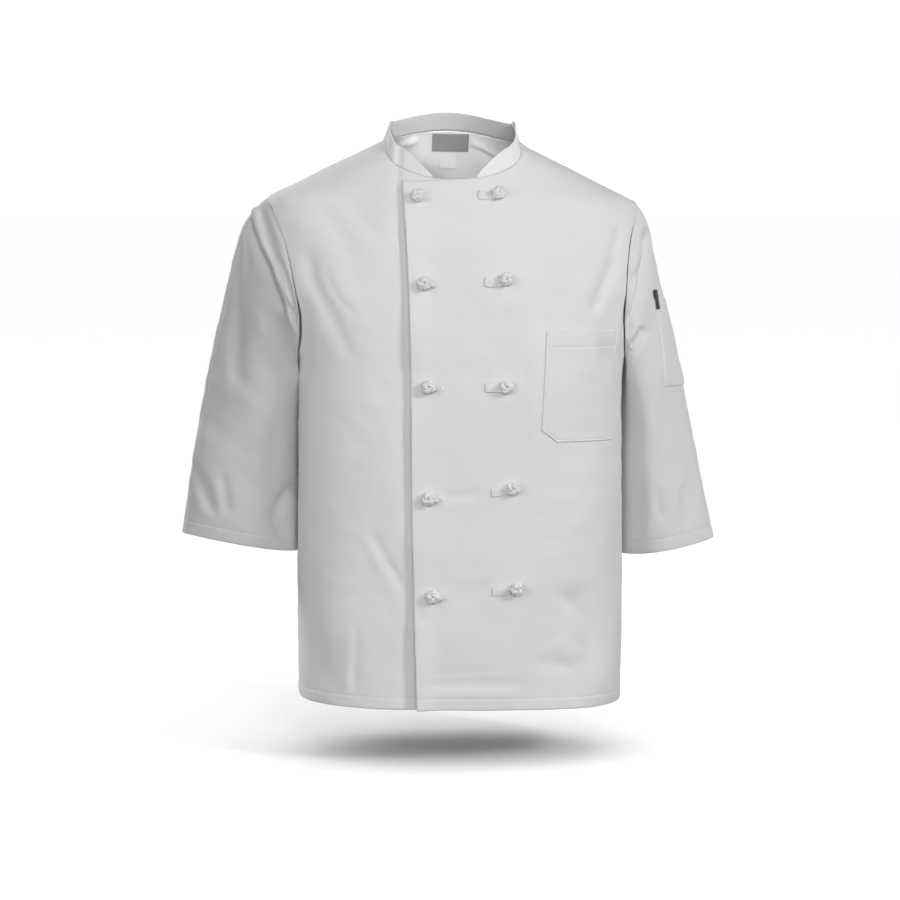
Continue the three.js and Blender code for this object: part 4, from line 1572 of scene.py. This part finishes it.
@dataclass(frozen=True)
class Knot:
    """A button knotted from a rolled cloth cord, in three leads and four bights, on its stem."""

    name: str
    x: float
    z: float
    tilt: float
    turn: float
    tail: float  # how far its cord shows beside it before it goes into the cloth; 0 for none
    width: float = 18.5
    height: float = 18.5
    depth: float = 12.5
    clear: float = 0.8
    cord: float = 2.75  # the cord's radius
    cord_wide: float = 1.12  # how it is pressed flat
    cord_thick: float = 0.92
    swing: float = math.radians(57)  # how far up and down the leads go
    weave: float = 0.2  # how far in and out they go
    stem: tuple[float, float] = (5.6, 3.6)  # its radius in the knot and at the cloth
    tail_radius: tuple[float, float] = (3.4, 2.7)
    samples: int = 150
    sides: int = 10

    def frame(self) -> tuple[Grid, Grid]:
        """Finds the knot's place on the outer front.

        Returns:
            Its middle, and its axes across, up and out, as rows.
        """
        angle = Torso.angle_at(np.float64(self.x), np.float64(self.z))
        place, normal = OUTER_SKIN.place(np.array([angle]), np.array([self.z]))
        out = normal[0]
        across = np.cross(np.array([0.0, 0.0, 1.0]), out)
        across /= np.linalg.norm(across)
        axes = np.stack([across, np.cross(out, across), out])
        return place[0] + out * (self.clear + self.depth / 2), axes

    def lead(self) -> Grid:
        """Lays the middle line of the knotted cord, in a ball of half size 1.

        Returns:
            Its points.
        """
        t = np.linspace(0, 2 * math.pi, self.samples, endpoint=False)
        around, level = 3 * t + math.radians(self.turn), self.swing * np.sin(4 * t)
        out = 1 + self.weave * np.sin(8 * t)
        flat = np.cos(level)
        ball = np.stack([flat * np.cos(around), flat * np.sin(around), np.sin(level)], -1)
        return ball * out[:, None]

    def tube(self, line: Grid, radius: Grid, closed: bool) -> tuple[Grid, list[list[int]]]:
        """Makes a tube round a line that curls about the ball's middle.

        Args:
            line: The middle line's points.
            radius: The tube's radius at each.
            closed: Whether the line is a loop.

        Returns:
            The tube's points and faces.
        """
        if closed:
            run = np.roll(line, -1, axis=0) - np.roll(line, 1, axis=0)
        else:
            run = np.gradient(line, axis=0)
        run = run / np.linalg.norm(run, axis=-1, keepdims=True)
        out = line + np.array([0, 0, 1e-3])
        out = out - run * np.sum(out * run, axis=-1, keepdims=True)
        out = out / np.linalg.norm(out, axis=-1, keepdims=True)
        side = np.cross(run, out)
        turn = np.arange(self.sides) * 2 * math.pi / self.sides
        spoke = side[:, None] * np.cos(turn)[:, None] * self.cord_wide
        spoke = spoke + out[:, None] * np.sin(turn)[:, None] * self.cord_thick
        rings = line[:, None] + spoke * radius[:, None, None]
        count = len(line)
        index = np.arange(count * self.sides).reshape(count, self.sides)
        after = np.roll(index, -1, axis=0) if closed else index[1:]
        before = index if closed else index[:-1]
        quads = np.stack([before, np.roll(before, -1, axis=1), np.roll(after, -1, axis=1), after], -1)
        faces = quads.reshape(-1, 4).tolist()
        if not closed:
            faces += [index[0][::-1].tolist(), index[-1].tolist()]
        return rings.reshape(-1, 3), faces

    def build(self) -> bpy.types.Object:
        """Makes the knot with its stem and tail as one mesh.

        Returns:
            The new object.
        """
        centre, axes = self.frame()
        half = np.array([self.width, self.height, self.depth]) / 2 - self.cord
        parts = [self.tube(self.lead() * half, np.full(self.samples, self.cord), True)]
        t = np.linspace(0, 1, 9)
        stem = np.stack([0.3 + 0 * t, 0.2 + 0 * t, mix(0.5, -self.depth / 2 - 1.5, t)], -1)
        parts.append(self.tube(stem, mix(*self.stem, t), False))
        if self.tail:
            bend = np.sin(t * QUARTER)
            sunk = 1 - np.cos(t * QUARTER)
            tail = np.stack([
                mix(3, self.tail + 3, bend), -1.4 - 1.2 * t, mix(0.5, -self.depth / 2 - 1.6, sunk),
            ], -1)
            parts.append(self.tube(tail, mix(*self.tail_radius, t), False))
        points = np.concatenate([part[0] for part in parts])
        faces, shift = [], 0
        for own, own_faces in parts:
            faces += [[k + shift for k in face] for face in own_faces]
            shift += len(own)
        c, s = math.cos(math.radians(self.tilt)), math.sin(math.radians(self.tilt))
        turned = points @ np.array([[c, s, 0], [-s, c, 0], [0, 0, 1]])
        piece = make_piece(self.name, centre + turned @ axes, faces)
        make_active(piece)
        bpy.ops.object.mode_set(mode="EDIT")
        bpy.ops.mesh.select_all(action="SELECT")
        bpy.ops.mesh.normals_make_consistent(inside=False)
        bpy.ops.object.mode_set(mode="OBJECT")
        return piece


@dataclass(frozen=True)
class Tab:
    """The folded strip that a sewn knot hangs from, stitched flat on the outer front."""

    name: str
    x: float
    z: float
    tilt: float
    fall: float
    gap: float
    length: float = 19.0
    under: float = 4.0  # how far it goes on below the knot
    height: float = 13.2
    round_off: float = 4.0
    stand: float = 2.6
    seat: float = 0.2
    press: float = 1.3  # how far in from its border it rises
    stitch: float = 2.1
    groove: float = 0.8
    groove_width: float = 0.55
    plump: float = 0.35
    thickness: float = 1.0

    def cloth(self) -> Cloth:
        """Makes the strip's face, rounded at its border, with a stitched groove inside it.

        Returns:
            The cloth.
        """
        whole = self.length + self.under
        back = spaced(whole, 0.9, ((0, 1.5, 0.35),))[None, :] * whole - self.length
        up = (spaced(self.height, 0.75, ((0, 1, 0.3), (self.height, 1, 0.3)))[:, None] - 0.5) * 2
        end = back + self.length
        short = np.clip(self.round_off - end, 0, self.round_off)
        half = self.height / 2 - self.round_off + np.sqrt(self.round_off ** 2 - short ** 2)
        rise = up * half
        slope = math.tan(math.radians(self.tilt))
        x = self.x - self.gap + back + 0 * rise
        z = self.z - self.fall + rise + (back - self.gap) * slope
        points, normal = OUTER_SKIN.place(Torso.angle_at(x, z), z)
        border = np.minimum(half - np.abs(rise), end + 0 * rise)
        press = np.sqrt(np.clip(1 - np.clip(1 - border / self.press, 0, 1) ** 2, 0, 1))
        groove = self.groove * bell(border - self.stitch, self.groove_width)
        plump = self.plump * bell(np.abs(rise), 3.0)
        lift = self.seat + (self.stand - self.seat) * press - groove + plump
        return Cloth(self.name, points + normal * lift[..., None])


@dataclass(frozen=True)
class Buttonhole:
    """A worked buttonhole beside a knot that comes through: a raised oval of satin stitches."""

    name: str
    x: float
    z: float
    length: float = 23.0
    height: float = 4.6
    radius: float = 0.85
    off: float = 0.25
    end_shape: tuple[float, float] = (0.45, 0.8)  # below 1 is squarer, across and up
    rib: float = 0.14
    flat: tuple[float, float] = (1.25, 0.75)  # how the tube is pressed, across it and out
    samples: int = 90
    sides: int = 7

    def build(self) -> bpy.types.Object:
        """Makes the oval as a ribbed tube on the outer front.

        Returns:
            The new object.
        """
        t = np.linspace(0, 2 * math.pi, self.samples, endpoint=False)
        x = self.x + power(np.cos(t), self.end_shape[0]) * self.length / 2
        z = self.z + power(np.sin(t), self.end_shape[1]) * self.height / 2
        place, normal = OUTER_SKIN.place(Torso.angle_at(x, z), z)
        line = place + normal * self.off
        run = np.roll(line, -1, axis=0) - np.roll(line, 1, axis=0)
        run /= np.linalg.norm(run, axis=-1, keepdims=True)
        side = np.cross(run, normal)
        turn = np.arange(self.sides) * 2 * math.pi / self.sides
        ribs = self.radius * (1 + self.rib * np.where(np.arange(self.samples) % 2, 1, -1))
        spoke = side[:, None] * np.cos(turn)[:, None] * self.flat[0]
        spoke = spoke + normal[:, None] * np.sin(turn)[:, None] * self.flat[1]
        rings = line[:, None] + spoke * ribs[:, None, None]
        index = np.arange(self.samples * self.sides).reshape(self.samples, self.sides)
        after = np.roll(index, -1, axis=0)
        quads = np.stack([index, np.roll(index, -1, axis=1), np.roll(after, -1, axis=1), after], -1)
        return make_piece(self.name, rings, quads.reshape(-1, 4)[:, ::-1].tolist())


@dataclass(frozen=True)
class NeckLabel:
    """A woven label sewn inside the back of the neck, its ends folded under; it carries no words."""

    name: str
    x: float
    width: float
    top: float
    height: float
    off: float  # how far its face stands off the back's outer side, inwards
    curl: float
    pitch: float = 1.2
    end_fold: float = 2.6  # how much of each end is folded under
    fold_rise: float = 0.35
    edge_round: float = 0.3

    def cloth(self) -> Cloth:
        """Makes the label's face.

        Returns:
            The cloth.
        """
        across = spaced(self.width, self.pitch, ((0, 1, 0.4), (self.width, 1, 0.4)))[None, :]
        up = spaced(self.height, self.pitch, ((0, 1, 0.4), (self.height, 1, 0.4)))[:, None]
        x = self.x + (across - 0.5) * self.width + 0 * up
        z = self.top - self.height * (1 - up) + 0 * across
        points, normal = BACK_SKIN.place(math.pi - Torso.angle_at(x, z, "square_back"), z)
        ends = np.minimum(across, 1 - across) * self.width + 0 * up
        fold = self.fold_rise * smooth((self.end_fold - ends) / 0.8) - self.edge_round * bell(ends, 0.6)
        loose = self.curl * (1 - up) ** 2 + 0 * across
        return Cloth(self.name, points - normal * (self.off + fold + loose)[..., None])


@dataclass(frozen=True)
class SleeveLabel:
    """A small folded woven tab in the sleeve pocket's edge; it carries no words."""

    sleeve: Sleeve
    side_turn: tuple[float, float] = (43.0, 47.0)  # degrees, at its top and its bottom
    front_turn: tuple[float, float] = (51.0, 55.0)
    top: float = -190.0
    bottom: float = -216.0
    width: float = 9.0
    off: float = 3.4
    swell: float = 0.9  # how much its folded layers round out
    thickness: float = 0.9

    def cloth(self) -> Cloth:
        """Makes the tab, with a rounded fold along its front edge.

        Returns:
            The cloth.
        """
        height = self.top - self.bottom
        up = spaced(height, 1.0, ((0, 1, 0.4), (height, 1, 0.4)))[:, None]
        across = spaced(self.width, 0.6)[None, :]
        side = np.radians(mix(self.side_turn[1], self.side_turn[0], up))
        front = np.radians(mix(self.front_turn[1], self.front_turn[0], up))
        turn = mix(side, front, across)
        z = mix(self.bottom, self.top, up) + 0 * turn
        points, normal = self.sleeve.place(turn, self.sleeve.along_at(turn, z))
        swell = self.swell * np.sqrt(np.clip(1 - (2 * across - 1) ** 2, 0, 1)) + 0 * up
        face = points + normal * (self.off - self.swell + swell)[..., None]
        return Cloth("sleeve_label_cloth", face[:, ::-1])


@dataclass(frozen=True)
class ButtonRow:
    """One row of the closing: a knot that comes through the outer front and a sewn one with its tab."""

    through: tuple[float, float]  # x and z of the knot that comes through
    sewn: tuple[float, float]
    tilt: float  # in degrees
    tab_fall: float  # how far the tab lies below its knot
    tab_gap: float
    tail: float
    turns: tuple[float, float]  # how each knot is turned, in degrees


BUTTON_ROWS = (
    ButtonRow((-54.5, -74), (49.5, -69), 0, 0, 8, 0, (20, 65)),
    ButtonRow((-49, -183), (56, -176), 0, 3.5, 8.5, 9.5, (75, 10)),
    ButtonRow((-44.5, -314), (55.5, -313), 0, 1, 8.5, 8.5, (40, 50)),
    ButtonRow((-45, -458), (64.5, -444), 12, 0, 9, 9, (5, 30)),
    ButtonRow((-40, -585), (68.5, -574), 10, -1, 12, 9.5, (55, 80)),
)
HOLE_PAST_KNOT = (7.0, -1.5)  # where a buttonhole's middle is, from its knot's


class Jacket:
    """The whole jacket, built piece by piece."""

    def __init__(self) -> None:
        """Makes the materials."""
        self.twill = Twill().build()
        self.knotted = KnottedCloth().build()
        self.thread = LabelWeave("white polyester thread", "f2f2f1", "e6e6e6", 0.5, 0.9).build()
        self.grey = LabelWeave("grey satin label", "9b9b9c", "8b8b8c", 0.42, 0.7).build()
        self.white = LabelWeave("white satin label", "ececec", "e2e2e2", 0.4, 0.7).build()
        self.black = LabelWeave("black woven tape", "1d1d1e", "111112", 0.5, 0.8).build()
        self.left_sleeve = Sleeve(Side.LEFT, 5.0, 7.0)
        self.right_sleeve = Sleeve(Side.RIGHT, -13.0, -7.0, 0.22)

    def hang(
        self,
        cloth: Cloth,
        thickness: float,
        flat: tuple[float, float],
        node: str,
        area: float | None = None,
        look: tuple[Finish, bpy.types.Material] | None = None,
    ) -> bpy.types.Object:
        """Args:
            cloth: The outer surface.
            thickness: The cloth's thickness in mm, or 0 where it is closed already.
            flat: Width and length that it was cut to, in metres; not used.
            node: The CAD node that it stands for.
            area: Area of the cut in square metres, where it isn't a rectangle; not used.
            look: Its slot and material, if they aren't the body cloth's.

        Returns:
            The piece.
        """
        piece = cloth.build()
        if thickness:
            apply_modifier(piece, "SOLIDIFY", thickness=thickness * MM, offset=-1.0)
        finish, material = look or (Finish.TWILL, self.twill)
        dress(piece, finish, material, node)
        if cloth.seams:
            dress(Thread().build(f"{node}_stitches", cloth.seams), Finish.TWILL, self.thread)
        log.info("%s: area %.5f", piece.name, cloth.area())
        return piece

    def body(self) -> None:
        """Builds the back and the two fronts."""
        back = Back()
        self.hang(back.cloth(), back.thickness, (0.64, 0.80), "back", 0.44)
        for side, skin, column in ((Side.RIGHT, INNER_SKIN, "inner"), (Side.LEFT, OUTER_SKIN, "outer")):
            front = Front(side, skin, column)
            self.hang(front.cloth(), front.thickness, (0.40, 0.78), f"{side.name.lower()}_front", 0.25)

    def sleeves(self) -> None:
        """Builds the two sleeves."""
        for sleeve in (self.right_sleeve, self.left_sleeve):
            node = f"{sleeve.side.name.lower()}_sleeve"
            self.hang(sleeve.cloth(), sleeve.thickness, (0.42, 0.47), node, 0.15)

    def collar(self) -> None:
        """Builds the collar."""
        self.hang(Collar().cloth(), 0, (0.43, 0.029), "collar")

    def pockets(self) -> None:
        """Builds the chest pocket and the sleeve pocket."""
        chest = ChestPocket()
        self.hang(chest.cloth(), chest.thickness, (0.113, 0.147), "chest_pocket")
        pen = SleevePocket(self.left_sleeve)
        self.hang(pen.cloth(), pen.thickness, (0.066, 0.12), "sleeve_pocket")

    def labels(self) -> None:
        """Builds the bare labels."""
        neck = NeckLabel("neck_label_cloth", -0.5, 50, 11, 23.5, 3.0, 0.5)
        self.hang(neck.cloth(), 0.4, (0.05, 0.0235), "neck_label", look=(Finish.GREY_LABEL, self.grey))
        size = NeckLabel("size_label_cloth", -2, 24, -13, 22, 2.4, 2.0)
        self.hang(size.cloth(), 0.35, (0.024, 0.022), "size_label", look=(Finish.WHITE_LABEL, self.white))
        tab = SleeveLabel(self.left_sleeve)
        black = (Finish.BLACK_LABEL, self.black)
        self.hang(tab.cloth(), tab.thickness, (0.0105, 0.0265), "sleeve_label", look=black)

    def buttons(self) -> None:
        """Builds the knots, their tabs and the buttonholes."""
        for number, row in enumerate(BUTTON_ROWS, 1):
            through = Knot(f"knot_through_{number}_cord", *row.through, 0, row.turns[0], row.tail)
            dress(through.build(), Finish.KNOT, self.knotted, f"knot_through_{number}")
            sewn = Knot(f"knot_sewn_{number}_cord", *row.sewn, row.tilt, row.turns[1], 0)
            dress(sewn.build(), Finish.KNOT, self.knotted, f"knot_sewn_{number}")
            tab = Tab(f"tab_{number}_cloth", *row.sewn, row.tilt, row.tab_fall, row.tab_gap)
            look = (Finish.KNOT, self.knotted)
            self.hang(tab.cloth(), tab.thickness, (0.026, 0.0135), f"tab_{number}", look=look)
            place = (row.through[0] + HOLE_PAST_KNOT[0], row.through[1] + HOLE_PAST_KNOT[1])
            hole = Buttonhole(f"buttonhole_{number}", *place)
            dress(hole.build(), Finish.KNOT, self.thread)


class Lit(Enum):
    """What a lamp reaches. The photograph is lit from many sides, each of them for one part of it."""

    ALL = "everything"
    RAISED = "all meshes but the floor"
    BODY = "all but the sleeves, the neck and the stage"
    NECK = "the back with its labels, and the collar"
    INSIDE = "the back with its labels"


@dataclass(frozen=True)
class LampPlan:
    """One soft lamp of the studio."""

    name: str
    place: tuple[float, float, float]  # in metres
    watts: float
    size: float
    lit: Lit = Lit.ALL


LAMPS = (
    LampPlan("Key", (3.2, -2.6, 1.6), 75, 0.9),
    LampPlan("Front", (0.2, -4.2, 0.9), 56, 1.2),
    LampPlan("Fill", (-3.0, -2.6, 0.9), 12, 1.0),
    LampPlan("Behind", (-2.6, 3.0, 1.5), 95, 1.0, Lit.RAISED),
    LampPlan("Chest fill", (-2.5, -3.2, 0.6), 24, 1.0, Lit.BODY),
    LampPlan("Neck light", (0.2, -3.5, -0.5), 25, 0.8, Lit.NECK),
    LampPlan("Inside light", (-0.7, -3.4, 0.3), 54, 0.8, Lit.INSIDE),
)
# How the names of what a lamp of some kinds reaches start
STARTS = {
    Lit.NECK: ("back", "neck_label", "size_label", "collar"),
    Lit.INSIDE: ("back", "neck_label", "size_label"),
}
NOT_BODY = ("left_sleeve", "right_sleeve", "Floor", "Backdrop", *STARTS[Lit.NECK])


@dataclass(frozen=True)
class Studio:
    """A pale floor and soft lights, with the camera at the photograph's angle."""

    azimuth: float = math.radians(-4.5)
    elevation: float = math.radians(6)
    distance: float = 4.0
    aim: tuple[float, float, float] = (-0.0066, 0.0, -0.4085)
    picture_width: float = 1.197  # what the picture's width spans at the jacket
    sensor: float = 36.0
    lamps_aim: tuple[float, float, float] = (0.0, 0.0, -0.4)
    floor_z: float = -0.81
    sun_strength: float = 2.9
    sun_width: float = math.radians(125)  # wide, so that the shadow on the floor is soft
    board: float = 60.0
    backdrop_away: float = 25.0
    backdrop_glow: float = 1.1
    room_light: float = 0.17

    def camera(self) -> None:
        """Places the camera."""
        data = bpy.data.cameras.new("Camera")
        data.sensor_width = self.sensor
        data.lens = self.sensor * self.distance / self.picture_width
        camera = bpy.data.objects.new("Camera", data)
        bpy.context.scene.collection.objects.link(camera)
        level = math.cos(self.elevation)
        back = Vector((
            math.sin(self.azimuth) * level, -math.cos(self.azimuth) * level, math.sin(self.elevation)
        ))
        camera.location = Vector(self.aim) + back * self.distance
        camera.rotation_mode = "QUATERNION"
        camera.rotation_quaternion = (-back).to_track_quat("-Z", "Y")
        bpy.context.scene.camera = camera

    def lamp(self, name: str, kind: str, place: tuple[float, float, float], power: float) -> bpy.types.Object:
        """Adds a light that faces the jacket.

        Args:
            name: The light's name.
            kind: Blender's type of light.
            place: Where it stands, in metres.
            power: Watts, or watts a square metre for a sun.

        Returns:
            The light.
        """
        data = bpy.data.lights.new(name, kind)
        data.energy = power
        lamp = bpy.data.objects.new(name, data)
        lamp.location = place
        lamp.rotation_mode = "QUATERNION"
        lamp.rotation_quaternion = (Vector(self.lamps_aim) - Vector(place)).to_track_quat("-Z", "Y")
        bpy.context.scene.collection.objects.link(lamp)
        return lamp

    def reached(self, lit: Lit) -> list[str]:
        """Lists what a lamp reaches.

        Args:
            lit: Which kind of lamp it is, other than one that reaches all.

        Returns:
            The objects' names.
        """
        everything = bpy.data.objects
        if lit is Lit.RAISED:
            return [thing.name for thing in everything if thing.type == "MESH" and thing.name != "Floor"]
        if lit is Lit.BODY:
            return [thing.name for thing in everything if not thing.name.startswith(NOT_BODY)]
        return [thing.name for thing in everything if thing.name.startswith(STARTS[lit])]

    def light_only(self, lamp: bpy.types.Object, names: list[str]) -> None:
        """Lets a light reach some objects only.

        Args:
            lamp: The light.
            names: The objects' names.
        """
        only = bpy.data.collections.new(f"Lit by {lamp.name}")
        for name in names:
            only.objects.link(bpy.data.objects[name])
        lamp.light_linking.receiver_collection = only

    def panel(self, name: str, location: tuple[float, float, float], turn: float) -> bpy.types.Object:
        """Adds one pale board of the stage, which throws no light back at the jacket.

        Args:
            name: The board's name.
            location: Its middle, in metres.
            turn: How it is tipped up.

        Returns:
            The board.
        """
        deselect()
        bpy.ops.mesh.primitive_plane_add(size=self.board, location=location, rotation=(turn, 0, 0))
        board = bpy.context.active_object
        board.name = name
        board.visible_diffuse = False
        board.visible_shadow = False
        return board

    def stage(self) -> None:
        """Adds the floor and the lit backdrop far behind it."""
        floor = self.panel("Floor", (0, 0, self.floor_z), 0)
        paint = bpy.data.materials.new("matt studio floor paint")
        paint.use_nodes = True
        shader = paint.node_tree.nodes["Principled BSDF"]
        shader.inputs["Base Color"].default_value = linear("f4f4f4")
        shader.inputs["Roughness"].default_value = 0.95
        shader.inputs["Specular IOR Level"].default_value = 0.0
        floor.data.materials.append(paint)
        sun = self.lamp("Floor light", "SUN", (0.0, 0.0, 3.0), self.sun_strength)
        sun.data.angle = self.sun_width
        self.light_only(sun, [floor.name])
        for index, turn in enumerate(range(0, 360, 90)):
            a = math.radians(turn)
            place = (self.backdrop_away * math.sin(a), self.backdrop_away * math.cos(a), 0)
            board = self.panel(f"Backdrop_{index}", place, QUARTER)
            board.rotation_euler = (QUARTER, 0, -a)
            glow = bpy.data.materials.new("lit paper backdrop")
            glow.use_nodes = True
            lit = glow.node_tree.nodes["Principled BSDF"]
            lit.inputs["Base Color"].default_value = linear("000000")
            lit.inputs["Emission Color"].default_value = (1, 1, 1, 1)
            lit.inputs["Emission Strength"].default_value = self.backdrop_glow
            board.data.materials.append(glow)

    def build(self) -> None:
        """Sets up the camera, floor and lights."""
        self.camera()
        self.stage()
        scene = bpy.context.scene
        scene.view_settings.view_transform = "Standard"
        world = bpy.data.worlds.new("Studio")
        world.use_nodes = True
        backing = world.node_tree.nodes["Background"]
        backing.inputs["Color"].default_value = (1, 1, 1, 1)
        backing.inputs["Strength"].default_value = self.room_light
        scene.world = world
        for plan in LAMPS:
            lamp = self.lamp(plan.name, "AREA", plan.place, plan.watts)
            lamp.data.size = plan.size
            if plan.lit is not Lit.ALL:
                self.light_only(lamp, self.reached(plan.lit))


def main() -> None:
    """Builds the jacket and its studio."""
    logging.basicConfig(level=logging.INFO, format="%(message)s")
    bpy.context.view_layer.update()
    jacket = Jacket()
    jacket.body()
    jacket.sleeves()
    jacket.collar()
    jacket.pockets()
    jacket.labels()
    jacket.buttons()
    Studio().build()


if __name__ == "__main__":
    main()
